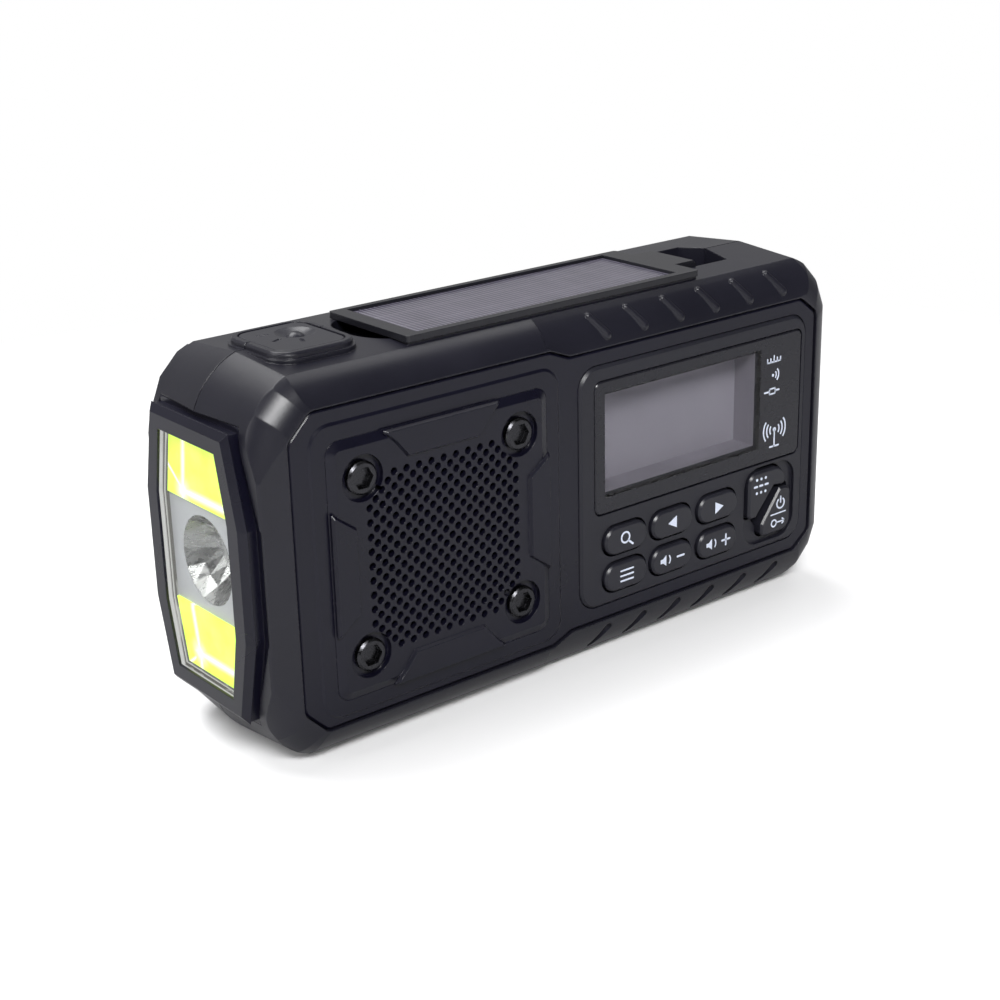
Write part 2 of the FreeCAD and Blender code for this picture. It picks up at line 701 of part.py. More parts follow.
def make_speaker_grille():
    outline = grille_outline(0)
    base = slab_y(rounded(outline, 3.0), FASCIA_Y - 0.3, FASCIA_SEAT_Y)
    rise = tapered(outline, 3.0, place_xz, FASCIA_Y - 0.3, GRILLE_Y, 1.9)
    body = merged([base, rise] + [grille_tab(turn) for turn in range(4)])
    recesses = [rod_y(x, z, SCREW_RECESS_RADIUS, -30, GRILLE_Y + 1.3) for x, z in screw_centres()]
    shanks = [rod_y(x, z, 1.6, -30, -10) for x, z in screw_centres()]
    holes = [rod_y(x, z, HOLE_RADIUS, -30, -10) for x, z in hole_centres()]
    sound_well = rod_y(GRILLE_X, GRILLE_Z, SPEAKER_RADIUS + 1.0, FASCIA_Y + 0.5, -10)
    return body.cut([sound_well]).cut(recesses + shanks).cut(holes)


def make_grille_screws():
    screws = []
    for x, z in screw_centres():
        seat = GRILLE_Y + 1.3
        head = rod_y(x, z, SCREW_HEAD_RADIUS, seat - 1.5, seat)
        outer_edge = min((edge for edge in head.Edges if edge.Closed), key=lambda edge: edge.Vertexes[0].Y)
        head = head.makeChamfer(0.45, [outer_edge])
        corners = []
        for i in range(6):
            angle = math.radians(60 * i)
            corners.append((x + 2.45 * math.cos(angle), z + 2.45 * math.sin(angle)))
        socket = slab_y(corners, seat - 2, seat - 0.2)
        shank = rod_y(x, z, 1.6, seat, FASCIA_SEAT_Y)
        screws.append(head.fuse(shank).cut(socket))
    return Part.Compound(screws)


# ---- loudspeaker ----
def turned(profile, x, z, start=0.0):
    """A solid of revolution about the Y axis through (x, z); profile is (radius, y) pairs."""
    face = Part.Face(segment_path(profile, lambda r, y: Vector(x + r, y, z)))
    return face.revolve(Vector(x, 0, z), Vector(0, 1, 0), 360)


def make_speaker_basket():
    profile = [
        (SPEAKER_RADIUS - 3.0, FRONT_WALL_Y),
        (SPEAKER_RADIUS, FRONT_WALL_Y),
        (SPEAKER_RADIUS, -16.6),
        (18.6, -16.6),
        (12.6, -9.0),
        (5.0, -9.0),
        (5.0, -10.0),
        (11.6, -10.0),
        (17.0, -17.0),
        (SPEAKER_RADIUS - 3.0, -17.4),
    ]
    windows = []
    for i in range(6):
        angle = math.radians(60 * i)
        x = GRILLE_X + 14 * math.cos(angle)
        z = GRILLE_Z + 14 * math.sin(angle)
        windows.append(rod((x, -18, z), (0, 1, 0), 2.6, 20))
    return turned(profile, GRILLE_X, GRILLE_Z).cut(windows)


def make_speaker_cone():
    profile = [
        (0, -14.2),
        (3.0, -13.6),
        (4.6, -12.4),
        (13.0, -17.3),
        (14.4, -18.3),
        (15.6, -17.9),
        (16.6, -18.0),
        (16.6, -17.6),
        (15.6, -17.5),
        (14.2, -17.6),
        (13.0, -16.7),
        (4.8, -11.5),
        (0, -13.4),
    ]
    return turned(profile, GRILLE_X, GRILLE_Z)


def make_speaker_magnet():
    profile = [(0, -8.9), (13.0, -8.9), (14.0, -8.2), (14.0, -5.6), (13.4, -5.0), (0, -5.0)]
    return turned(profile, GRILLE_X, GRILLE_Z)


# ---- display and keys ----
def key_outline(column, row, grow=0.0):
    x, z = BUTTON_COLUMNS[column], BUTTON_ROWS[row]
    half_x, half_z = BUTTON_SIZE[0] / 2, BUTTON_SIZE[1] / 2
    return rectangle((x - half_x, x + half_x), (z - half_z, z + half_z), grow)


KEY_RADIUS = BUTTON_SIZE[1] / 2 - 0.05

# each entry is x, z and the corner's radius
ALARM_OUTLINE = [
    (52.0, MID_Z - 19.5, 1.2),
    (54.5, MID_Z - 19.5, 0.7),
    (60.7, MID_Z - 12.6, 1.0),
    (64.5, MID_Z - 13.0, 0.8),
    (64.5, MID_Z - 7.9, 3.6),
    (52.0, MID_Z - 7.9, 2.8),
]
POWER_OUTLINE = [
    (56.6, MID_Z - 25.0, 1.4),
    (66.6, MID_Z - 25.0, 3.0),
    (66.6, MID_Z - 13.6, 2.0),
    (62.9, MID_Z - 13.6, 0.5),
    (56.6, MID_Z - 21.8, 0.6),
]
PAIR_OPENING = [
    (51.5, MID_Z - 20.0, 1.6),
    (54.2, MID_Z - 20.0, 0.6),
    (56.1, MID_Z - 22.3, 0.6),
    (56.1, MID_Z - 25.5, 1.8),
    (67.1, MID_Z - 25.5, 3.4),
    (67.1, MID_Z - 13.6, 1.4),
    (65.0, MID_Z - 12.4, 0.8),
    (65.0, MID_Z - 7.5, 4.0),
    (51.5, MID_Z - 7.5, 3.2),
]


def key_solid(outline, radius, flange):
    """One key: a domed cap that stands through the panel, and a flange behind it that holds it in."""
    plain = [point[:2] for point in outline]
    corner = [point[2] if len(point) == 3 else radius for point in outline]
    cap = slab_y(rounded([p + (r,) for p, r in zip(plain, corner)], 1), BUTTON_Y + 0.5, -20.2)
    lid_base = segment_path(rounded([p + (r,) for p, r in zip(plain, corner)], 1), place_xz(BUTTON_Y + 0.5))
    inner = offset_polygon(plain, 0.45)
    lid_top = segment_path(
        rounded([p + (max(r - 0.45, 0.3),) for p, r in zip(inner, corner)], 1), place_xz(BUTTON_Y)
    )
    lid = Part.makeLoft([lid_base, lid_top], True, True)
    foot = slab_y(flange, -20.2, -19.4)
    return merged([cap, lid, foot])


def key_pair_flange(outline):
    grown = offset_polygon([point[:2] for point in outline], -0.8)
    return rounded(grown, 0.5)


def oval_key(column, row):
    flange = rounded(key_outline(column, row, 0.7), 1.0)
    return key_solid(key_outline(column, row), KEY_RADIUS, flange)


def make_alarm_key():
    """The flange gives way where the power key's cap comes down beside it."""
    beside = offset_polygon([point[:2] for point in POWER_OUTLINE], -0.3)
    return key_solid(ALARM_OUTLINE, 1.0, key_pair_flange(ALARM_OUTLINE)).cut(slab_y(beside, -20.2, -19.0))


def make_power_key():
    """The flange gives way where the alarm key's flange runs beside it."""
    beside = offset_polygon([point[:2] for point in ALARM_OUTLINE], -1.0)
    return key_solid(POWER_OUTLINE, 1.0, key_pair_flange(POWER_OUTLINE)).cut(slab_y(beside, -20.2, -19.0))


def make_control_panel():
    outline = rectangle(PANEL_X, PANEL_Z)
    body = slab_y(rounded(outline, PANEL_RADIUS), PANEL_Y + 0.6, FASCIA_SEAT_Y)
    rim = tapered(outline, PANEL_RADIUS, place_xz, PANEL_Y + 0.6, PANEL_Y, 0.6)
    panel = merged([body, rim])
    cuts = [
        slab_y(rounded(rectangle(LENS_X, LENS_Z, 0.3), 2.0), -30, PANEL_Y + 1.0),
        slab_y(rectangle(LCD_X, LCD_Z), -30, -10),
        slab_y(rounded(rectangle(PAIR_X, PAIR_Z), 5.0), -30, PANEL_Y + 0.9),
    ]
    for row in range(2):
        for column in range(3):
            opening = rounded(key_outline(column, row, BUTTON_GAP), KEY_RADIUS + BUTTON_GAP)
            cuts.append(slab_y(opening, -30, -10))
    cuts.append(slab_y(rounded(PAIR_OPENING, 1), -30, -10))
    posts = []
    for x in (3.2, 50.1):
        for z in (-22.8, -9.0):
            posts.append(rod_y(x, MID_Z + z, 1.0, FASCIA_SEAT_Y, KEY_BOARD_Y[0]))
    return panel.cut(cuts).fuse(posts)


def make_display_lens():
    outline = rectangle(LENS_X, LENS_Z)
    base = slab_y(rounded(outline, 1.7), PANEL_Y + 0.15, PANEL_Y + 1.0)
    rim = tapered(outline, 1.7, place_xz, PANEL_Y + 0.15, PANEL_Y - 0.1, 0.25)
    return merged([base, rim])


def make_lcd_frame():
    outer = slab_y(rounded(rectangle(LCD_X, LCD_Z, 1.4), 1.0), FASCIA_SEAT_Y, LCD_Y + 1.2)
    inner = slab_y(rectangle(LCD_X, LCD_Z), -30, 0)
    seat = slab_y(rectangle(LCD_X, LCD_Z, 0.6), LCD_Y, 0)
    return outer.cut([inner, seat])


def make_lcd_panel():
    glass = slab_y(rectangle(LCD_X, LCD_Z, 0.55), LCD_Y, LCD_Y + 1.6)
    backing = slab_y(rounded(rectangle(LCD_X, LCD_Z, 1.2), 0.8), LCD_Y + 1.6, LCD_Y + 2.4)
    return glass.fuse(backing)


KEY_BOARD_Y = (-16.4, -15.4)
MAIN_BOARD_Y = (-13.0, -11.4)


def make_key_board():
    return block((2.0, 69.0), KEY_BOARD_Y, (MID_Z - 27.2, MID_Z - 7.2))


KEY_SWITCHES = [(x, z) for x in BUTTON_COLUMNS for z in BUTTON_ROWS] + [
    (57.0, MID_Z - 13.4),
    (63.8, MID_Z - 21.4),
]


def make_tact_switches():
    """A small square switch behind every key, and one under the lamp button."""
    switches = []
    for x, z in KEY_SWITCHES:
        case = block((x - 2.2, x + 2.2), (-18.0, KEY_BOARD_Y[0]), (z - 2.2, z + 2.2))
        switches.append(case.fuse(rod_y(x, z, 1.2, -18.7, -18.0)))
    x, y = LAMP_BUTTON
    y -= 4.0
    low = MID_Z + 33.0
    case = block((x - 3, x + 3), (y - 3, y + 3), (low, low + 3))
    switches.append(case.fuse(rod_z(x, y, 1.5, low + 3, low + 3.8)))
    return Part.Compound(switches)


def make_main_board():
    board = block((-6.0, 65.5), MAIN_BOARD_Y, (MID_Z - 8.0, MID_Z + 31.0))
    chips = [
        block((41.0, 50.0), (-11.4, -10.2), (MID_Z + 4, MID_Z + 14)),
        block((53.0, 59.0), (-11.4, -10.2), (MID_Z + 6, MID_Z + 13)),
        block((44.0, 64.0), (-11.4, -9.4), (MID_Z - 5, MID_Z)),
        rod_y(61.5, MID_Z + 14, 2.5, -11.4, -6.5),
        rod_y(61.5, MID_Z + 20, 2.5, -11.4, -6.5),
    ]
    return merged([board] + chips)


# ---- lamp end ----
def make_lamp_bezel():
    front = (13.6, 29.4, 17.6)
    ridge = (14.9, 31.0, 19.5)
    collar = (14.5, 30.6, 19.1)
    sections = [segment_path(lamp_octagon(*front), place_yz(LAMP_FACE_X))]
    sections.append(segment_path(lamp_octagon(*ridge), place_yz(-83.4)))
    nose = Part.makeLoft(sections, True, True)
    neck = slab_x(lamp_octagon(*collar), -83.4, LAMP_FLANGE_X)
    flange = slab_x(lamp_octagon(*[v - 0.1 for v in LAMP_FLANGE]), LAMP_FLANGE_X, -78.0)
    flange = flange.common(half_block(-1, 0).fuse(half_block(1, 0)))
    skirt = slab_x(lamp_octagon(13.1, 28.5, 16.9), -78.0, -74.0)
    body = merged([nose, neck, flange, skirt])
    window = slab_x(lamp_octagon(10.9, 26.3, 13.8), -90, -70)
    seat = slab_x(lamp_octagon(11.9, 27.3, 14.8), LAMP_FACE_X + 0.6, -70)
    return body.cut([window, seat])


def make_lamp_lens():
    outer = (11.85, 27.25, 14.75)
    inner = (10.75, 26.15, 13.65)
    body = slab_x(lamp_octagon(*outer), LAMP_FACE_X + 0.6, -81.9)
    return body.cut(slab_x(lamp_octagon(*inner), LAMP_FACE_X + 1.7, -70))


def make_lamp_plate():
    plate = slab_x(lamp_octagon(11.8, 27.2, 14.7), -81.9, -81.2)
    return plate.cut(rod_x(0, MID_Z, TORCH_RADIUS, -90, -70))


def make_cob_panels():
    """Two yellow light panels, above and below the torch."""
    panels = []
    for up in (-1, 1):
        points = [
            (-13.4, MID_Z + up * 11.8),
            (13.4, MID_Z + up * 11.8),
            (10.55, MID_Z + up * 25.9),
            (-10.55, MID_Z + up * 25.9),
        ]
        panels.append(slab_x(points, -82.4, -81.9))
    return Part.Compound(panels)


def make_torch_reflector():
    """A deep cup: parabola inside, even wall outside, open at the middle for the lamp chip."""
    depth = 8.0
    mouth_x = -81.9
    inner = []
    steps = 8
    for i in range(steps + 1):
        radius = TORCH_RADIUS - 0.05 - (TORCH_RADIUS - 2.55) * i / steps
        inner.append((radius, mouth_x + depth * (1 - ((radius - 1.5) / (TORCH_RADIUS - 1.55)) ** 2)))
    outer = [(r + 0.9, x + 0.7) for r, x in reversed(inner)]
    outer[-1] = (TORCH_RADIUS + 0.9, mouth_x + 0.7)
    lip = [(TORCH_RADIUS - 0.05, mouth_x + 0.7)]
    profile = [inner[0]] + inner[1:] + outer + lip
    face = Part.Face(segment_path(profile, lambda r, x: Vector(x, 0, MID_Z + r)))
    return face.revolve(Vector(0, 0, MID_Z), Vector(1, 0, 0), 360)


def make_torch_led():
    base = block((-73.4, -72.6), (-2.4, 2.4), (MID_Z - 2.4, MID_Z + 2.4))
    return base.fuse(Part.makeCylinder(1.2, 0.7, Vector(-74.1, 0, MID_Z), Vector(1, 0, 0)))


def make_lamp_board():
    board = slab_x(lamp_octagon(11.5, 26.5, 14.0), -72.6, -71.4)
    return board.cut([rod_x(y, MID_Z + 20, 1.2, -80, -60) for y in (-5, 5)])


# ---- lamp button on the top ----
def make_lamp_button():
    x, y = LAMP_BUTTON
    low = LAMP_BUTTON_SEAT + 1.2 + LAMP_BUTTON_TRAVEL
    outline = lamp_button_outline(-1.6)
    cap = slab_z(rounded(outline, 3.0), low, LAMP_BUTTON_TOP - 0.4)
    lid = tapered(outline, 3.0, place_xy, LAMP_BUTTON_TOP - 0.4, LAMP_BUTTON_TOP - 0.1, 0.4)
    stem = rod_z(x, y - 4.0, 2.0, MID_Z + 36.8 + LAMP_BUTTON_TRAVEL + 0.1, low)
    pip_x, pip_y = x + 2.4, y + 2.4
    dish = Part.makeSphere(9.0, Vector(pip_x, pip_y, LAMP_BUTTON_TOP + 7.8))
    pip = Part.makeSphere(2.4, Vector(pip_x, pip_y, LAMP_BUTTON_TOP - 2.3))
    rays = []
    for degrees in (160, 205, 250):
        angle = math.radians(degrees)
        step = Vector(math.cos(angle), math.sin(angle), 0)
        start = Vector(pip_x, pip_y, LAMP_BUTTON_TOP) + step * 5.4
        rays.append(Part.makeCylinder(0.45, 2.6, start, step))
    return merged([cap, lid, stem]).cut([dish] + rays).fuse(pip).removeSplitter()


# ---- solar flap ----
def make_solar_flap():
    base = FLAP_TOP - FLAP_RIM
    plate = slab_z(rounded(rectangle(FLAP_X, FLAP_Y), 0.8), base, FLAP_TOP)
    floor = slab_z(rectangle(CELL_X, CELL_Y, 0.15), base - 0.8, base)
    pin_x, pin_z = FLAP_PIN
    side = [
        (FLAP_X[1] - 1, FLAP_TOP),
        (FLAP_X[1] - 1, base - 0.4),
        (pin_x - 3.4, base - 0.4),
        (pin_x - 2.0, pin_z - 1.6),
        (pin_x + 1.2, pin_z - 1.8),
        (TONGUE_X, base - 1.0),
        (TONGUE_X, FLAP_TOP - 0.8),
        (TONGUE_X - 0.8, FLAP_TOP),
    ]
    profile = Part.Face(segment_path(side, lambda x, z: Vector(x, TONGUE_Y[0], z)))
    tongue = profile.extrude(Vector(0, TONGUE_Y[1] - TONGUE_Y[0], 0))
    recess = slab_z(rectangle(CELL_X, CELL_Y), FLAP_TOP - 1.2, FLAP_TOP + 1)
    bore = rod_y(pin_x, pin_z, FLAP_PIN_RADIUS + RUNNING_GAP, -30, 30)
    return merged([plate, floor, tongue]).cut([recess, bore])


def make_solar_cell():
    return slab_z(rectangle(CELL_X, CELL_Y, -0.05), FLAP_TOP - 1.2, FLAP_TOP - 0.7)


def make_flap_hinge_pin():
    return rod_y(FLAP_PIN[0], FLAP_PIN[1], FLAP_PIN_RADIUS, TONGUE_Y[0] - 3.2, TONGUE_Y[1] + 3.2)


def make_reading_lamp_lens():
    top = FLAP_TOP - FLAP_RIM - 0.95
    lens = slab_z(reading_lamp_window(0), READING_LAMP_BOARD_Z, top)
    return lens.cut(slab_z(reading_lamp_window(-1.2), top - 3, top - 1.2))


def make_reading_lamp_board():
    top = READING_LAMP_BOARD_Z
    board = slab_z(reading_lamp_window(1.0), top - 1.0, top)
    chips = [block((x - 1, x + 1), (-8.5, -6.5), (top, top + 0.6)) for x in range(-18, 19, 4)]
    return board.fuse(chips)


# ---- crank ----
def make_crank_hub():
    radius = HUB_RADIUS
    disc = turned([(0, 6.3), (radius, 6.3), (radius, 9.4), (radius - 0.6, 10.0), (0, 10.0)], 0, CRANK_Z)
    dome = turned([(0, 9.5), (10.0, 9.5), (9.0, 15.2), (8.2, 15.9), (0, 15.9)], 0, CRANK_Z)
    shaft = rod_y(0, CRANK_Z, SHAFT_RADIUS, DRIVE_PLANE[0], 6.4)
    ears = []
    for side in (-1, 1):
        low_z = CRANK_Z + min(side * 3.15, side * 6.15)
        ear = block((FOLD_PIN_X - 2.6, FOLD_PIN_X + 2.6), (9.5, FOLD_PIN_Y), (low_z, low_z + 3.0))
        knuckle = rod((FOLD_PIN_X, FOLD_PIN_Y, low_z), (0, 0, 1), 2.6, 3.0)
        ears.append(ear.fuse(knuckle))
    bore = rod((FOLD_PIN_X, FOLD_PIN_Y, CRANK_Z - 10), (0, 0, 1), FOLD_PIN_RADIUS, 20)
    return merged([disc, dome, shaft] + ears).cut(bore)


def make_crank_fold_pin():
    return rod((FOLD_PIN_X, FOLD_PIN_Y, CRANK_Z - 6.15), (0, 0, 1), FOLD_PIN_RADIUS, 12.3)


def make_crank_arm():
    """The arm lies across the hub when folded; its narrow end turns between the hub's ears."""
    low, high = ARM_Y
    shoulder = FOLD_PIN_X - 5.2
    path = [
        (FOLD_PIN_X + 1.0, CRANK_Z - 3.0),
        (FOLD_PIN_X + 1.0, CRANK_Z + 3.0),
        (shoulder, CRANK_Z + 3.0),
        (shoulder - 3.0, CRANK_Z + 5.0),
        (KNOB_X, CRANK_Z + 5.6),
        (KNOB_X - 5.6, CRANK_Z, KNOB_X, CRANK_Z - 5.6),
        (shoulder - 3.0, CRANK_Z - 5.0),
        (shoulder, CRANK_Z - 3.0),
    ]
    beam = slab_y(path, low, high)
    barrel = rod((FOLD_PIN_X, FOLD_PIN_Y, CRANK_Z - 3.0), (0, 0, 1), 2.6, 6.0)
    neck_x = (FOLD_PIN_X - 2.6, FOLD_PIN_X + 1.0)
    neck = block(neck_x, (high - 1, FOLD_PIN_Y), (CRANK_Z - 3.0, CRANK_Z + 3.0))
    groove_path = rounded(rectangle((KNOB_X + 7.5, shoulder - 6.0), (CRANK_Z - 2.6, CRANK_Z + 2.6)), 1.6)
    groove = slab_y(groove_path, high - 1.2, high + 1)
    bore = rod((FOLD_PIN_X, FOLD_PIN_Y, CRANK_Z - 10), (0, 0, 1), FOLD_PIN_RADIUS + RUNNING_GAP, 20)
    seat = rod_y(KNOB_X, CRANK_Z, 2.0, low - 1, high + 1)
    return merged([beam, barrel, neck]).cut([groove, bore, seat])


def make_knob_pin():
    profile = [(0, 7.6), (3.0, 7.6), (3.0, 8.6), (2.0, 8.6), (2.0, ARM_Y[1] - 0.3), (0, ARM_Y[1] - 0.3)]
    return turned(profile, KNOB_X, CRANK_Z)


def make_crank_knob():
    profile = [
        (3.4, 7.0),
        (5.2, 7.0),
        (KNOB_RADIUS, 7.8),
        (KNOB_RADIUS - 0.5, 12.0),
        (KNOB_RADIUS, 15.8),
        (KNOB_RADIUS - 0.4, 16.2),
        (2.0 + RUNNING_GAP, 16.2),
        (2.0 + RUNNING_GAP, 8.9),
        (3.4, 8.9),
    ]
    knob = turned(profile, KNOB_X, CRANK_Z)
    flutes = []
    for i in range(10):
        angle = math.radians(36 * i)
        x = KNOB_X + (KNOB_RADIUS + 0.5) * math.cos(angle)
        z = CRANK_Z + (KNOB_RADIUS + 0.5) * math.sin(angle)
        flutes.append(rod_y(x, z, 0.95, 6.0, 15.2))
    return knob.cut(flutes)


# ---- generator gears ----
def gear_blank(teeth, low, high, bore, centre, turn):
    """A spur gear with straight-sided teeth. turn sets the angle of its first tooth."""
    pitch_radius = GEAR_MODULE * teeth / 2
    tip = pitch_radius + 0.8 * GEAR_MODULE
    root = pitch_radius - 1.1 * GEAR_MODULE
    pitch = 2 * math.pi / teeth
    root_half = pitch * 0.31
    mid_half = pitch * 0.215
    tip_half = pitch * 0.10
    points = []
    for i in range(teeth):
        middle = turn + i * pitch
        for angle, radius in (
            (middle - root_half, root),
            (middle - mid_half, pitch_radius),
            (middle - tip_half, tip),
            (middle + tip_half, tip),
            (middle + mid_half, pitch_radius),
            (middle + root_half, root),
        ):
            points.append((centre[0] + radius * math.cos(angle), centre[1] + radius * math.sin(angle)))
    return slab_y(points, low, high).cut(rod_y(centre[0], centre[1], bore, low - 1, high + 1))


def pitch_radius(teeth):
    return GEAR_MODULE * teeth / 2


DRIVE_CENTRE = (0.0, CRANK_Z)
IDLER_REACH = pitch_radius(DRIVE_TEETH) + pitch_radius(IDLER_PINION_TEETH)
IDLER_CENTRE = (IDLER_REACH * math.cos(IDLER_BEARING), CRANK_Z + IDLER_REACH * math.sin(IDLER_BEARING))
DYNAMO_REACH = pitch_radius(IDLER_TEETH) + pitch_radius(DYNAMO_TEETH)
DYNAMO_CENTRE = (
    IDLER_CENTRE[0] + DYNAMO_REACH * math.cos(DYNAMO_BEARING),
    IDLER_CENTRE[1] + DYNAMO_REACH * math.sin(DYNAMO_BEARING),
)
IDLER_PIN_RADIUS = 1.5
ROTOR_SHAFT_RADIUS = 1.0


def make_drive_gear():
    return gear_blank(DRIVE_TEETH, *DRIVE_PLANE, SHAFT_RADIUS, DRIVE_CENTRE, IDLER_BEARING)


def make_idler_gear():
    """A pinion and a wheel in one piece: a gap of the pinion faces the drive gear's tooth."""
    half_pitch = math.pi / IDLER_PINION_TEETH
    bore = IDLER_PIN_RADIUS + RUNNING_GAP
    pinion_turn = IDLER_BEARING + math.pi + half_pitch
    high = DRIVE_PLANE[1]
    pinion = gear_blank(IDLER_PINION_TEETH, SECOND_PLANE[1], high, bore, IDLER_CENTRE, pinion_turn)
    wheel = gear_blank(IDLER_TEETH, *SECOND_PLANE, bore, IDLER_CENTRE, DYNAMO_BEARING)
    return pinion.fuse(wheel)


def make_dynamo_rotor():
    """The generator's pinion on its shaft: a gap of the pinion faces the wheel's tooth."""
    half_pitch = math.pi / DYNAMO_TEETH
    turn = DYNAMO_BEARING + math.pi + half_pitch
    pinion = gear_blank(DYNAMO_TEETH, *SECOND_PLANE, ROTOR_SHAFT_RADIUS, DYNAMO_CENTRE, turn)
    shaft = rod_y(*DYNAMO_CENTRE, ROTOR_SHAFT_RADIUS, -10.0, SECOND_PLANE[1])
    rotor = rod_y(*DYNAMO_CENTRE, 8.0, -9.6, -6.0)
    return merged([pinion, shaft, rotor])


def make_dynamo_body():
    x, z = DYNAMO_CENTRE
    can = rod_y(x, z, DYNAMO_RADIUS, -11.0, GEAR_PLATE_Y[0])
    hollow = rod_y(x, z, 8.4, -10.0, -5.4)
    bore = rod_y(x, z, ROTOR_SHAFT_RADIUS + RUNNING_GAP, -10.4, 0)
    return can.cut([hollow, bore])


def make_idler_pin():
    return rod_y(*IDLER_CENTRE, IDLER_PIN_RADIUS, GEAR_PLATE_Y[0], WELL_FLOOR_Y - WALL)


def make_gear_plate():
    """The metal plate that carries the idler's pin and the generator, with three legs to the casing."""
    low, high = GEAR_PLATE_Y
    left = [(20, CRANK_Z + 35), (-2, CRANK_Z + 20), (8, CRANK_Z - 4)]
    points = left + [(41, CRANK_Z - 2), (42, CRANK_Z + 28)]
    plate = slab_y(rounded(points, 4.0), low, high)
    feet = [(36.4, CRANK_Z + 4.0), (3.0, CRANK_Z + 24.0)]
    legs = [rod_y(x, z, 2.2, high, WELL_FLOOR_Y - WALL) for x, z in feet]
    cuts = [
        rod_y(*IDLER_CENTRE, IDLER_PIN_RADIUS, -10, 10),
        rod_y(*DYNAMO_CENTRE, 3.2, -10, 10),
    ]
    return merged([plate] + legs).cut(cuts)


# ---- battery ----
CELL_AXIS = (-5.9, 13.2)
CELL_RADIUS = 9.2
TRAY_FLOOR_Z = 3.5


def make_battery_cells():
    """Two round cells end to end along the base, each with a raised cap."""
    cells = []
    for start in (-65.8, 0.0):
        body = rod_x(*CELL_AXIS, CELL_RADIUS, start, start + 64.0)
        neck = rod_x(*CELL_AXIS, 3.5, start + 64.0, start + 65.2)
        cells.append(body.fuse(neck))
    return Part.Compound(cells)


def make_battery_tray():
    """A moulded tray below the cells that stops them from rolling."""
    tray = block((-65.0, 65.0), (-14.0, 2.4), (TRAY_FLOOR_Z, 9.0))
    bed = rod_x(*CELL_AXIS, CELL_RADIUS, -80, 80)
    gaps = [block((x, x + 14), (-20, 5), (4.2, 20)) for x in (-56, -32, 18, 42)]
    return tray.cut([bed] + gaps)


# ---- aerial ----
def make_aerial_base():
    barrel = rod_y(SWIVEL_X, AERIAL_Z, 4.0, TRAY_Y + 0.3, 22.6)
    stub = rod_y(SWIVEL_X, AERIAL_Z, 1.5, TRAY_Y - WALL, TRAY_Y + 0.4)
    neck = rod_x(AERIAL_Y, AERIAL_Z, 3.0, SWIVEL_X, ELBOW_X + 2.6)
    gap = block((ELBOW_X - 3.2, ELBOW_X + 5), (10, 30), (AERIAL_Z - 1.5, AERIAL_Z + 1.5))
    bore = rod_z(ELBOW_X, AERIAL_Y, 1.1, AERIAL_Z - 8, AERIAL_Z + 8)
    return merged([barrel, stub, neck]).cut([gap, bore])


def make_aerial_elbow_pin():
    return rod_z(ELBOW_X, AERIAL_Y, 1.1, AERIAL_Z - 2.6, AERIAL_Z + 2.6)


def tube_section(index, start, end):
    outer = rod_x(AERIAL_Y, AERIAL_Z, TUBE_RADII[index], start, end)
    bore = TUBE_RADII[index] - TUBE_WALL
    return outer.cut(rod_x(AERIAL_Y, AERIAL_Z, bore, start + 3.0, end + 1))


def make_aerial_tube():
    """The largest section, with the flat tongue that turns in the base's fork."""
    tube = tube_section(0, TUBE_X[0], TUBE_X[1])
    half = 1.45
    across = (AERIAL_Y - 2.6, AERIAL_Y + 2.6)
    tongue = block((ELBOW_X, TUBE_X[0] + 1), across, (AERIAL_Z - half, AERIAL_Z + half))
    end = rod_z(ELBOW_X, AERIAL_Y, 2.6, AERIAL_Z - half, AERIAL_Z + half)
    bore = rod_z(ELBOW_X, AERIAL_Y, 1.1 + RUNNING_GAP, AERIAL_Z - 8, AERIAL_Z + 8)
    return merged([tube, tongue, end]).cut(bore)


def make_aerial_middle():
    return tube_section(1, TUBE_X[0] + 4, TUBE_X[1] + 1.0)


def make_aerial_upper():
    return tube_section(2, TUBE_X[0] + 8, TUBE_X[1] + 2.0)


def make_aerial_rod():
    mast = rod_x(AERIAL_Y, AERIAL_Z, TUBE_RADII[3], TUBE_X[0] + 12, TUBE_X[1] + 3.0)
    tip = turned_x([(0, 3.0), (2.6, 3.0), (3.1, 3.6), (3.1, 7.4), (2.4, 8.2), (0, 8.2)])
    return mast.fuse(tip)


def turned_x(profile):
    """A solid of revolution about the aerial's axis; profile is (radius, distance past the tube's end)."""
    face = Part.Face(segment_path(profile, lambda r, x: Vector(TUBE_X[1] + x, AERIAL_Y, AERIAL_Z + r)))
    return face.revolve(Vector(0, AERIAL_Y, AERIAL_Z), Vector(1, 0, 0), 360)


# ---- charging ports ----
def make_port_block():
    """The socket panel in the right end: one round jack bore and one flat charging slot."""
    body = slab_x(port_opening(0.1), 77.0, 79.6)
    shelf = block((64.5, 77.0), (PORT_Y[0] + 1, PORT_Y[1] - 1), (PORT_Z[0] + 3, PORT_Z[1] - 2))
    slot = slab_x(rounded(rectangle((-4.5, 4.5), (USB_Z - 1.6, USB_Z + 1.6)), 1.55), 72.0, 90)
    tab = block((71.5, 79.0), (-3.3, 3.3), (USB_Z - 0.35, USB_Z + 0.35))
    jack = rod_x(0, JACK_Z, JACK_RADIUS, 65.0, 90)
    mouth = rod_x(0, JACK_Z, 3.2, 79.0, 90)
    return merged([body, shelf]).cut([slot, jack, mouth]).fuse(tab)


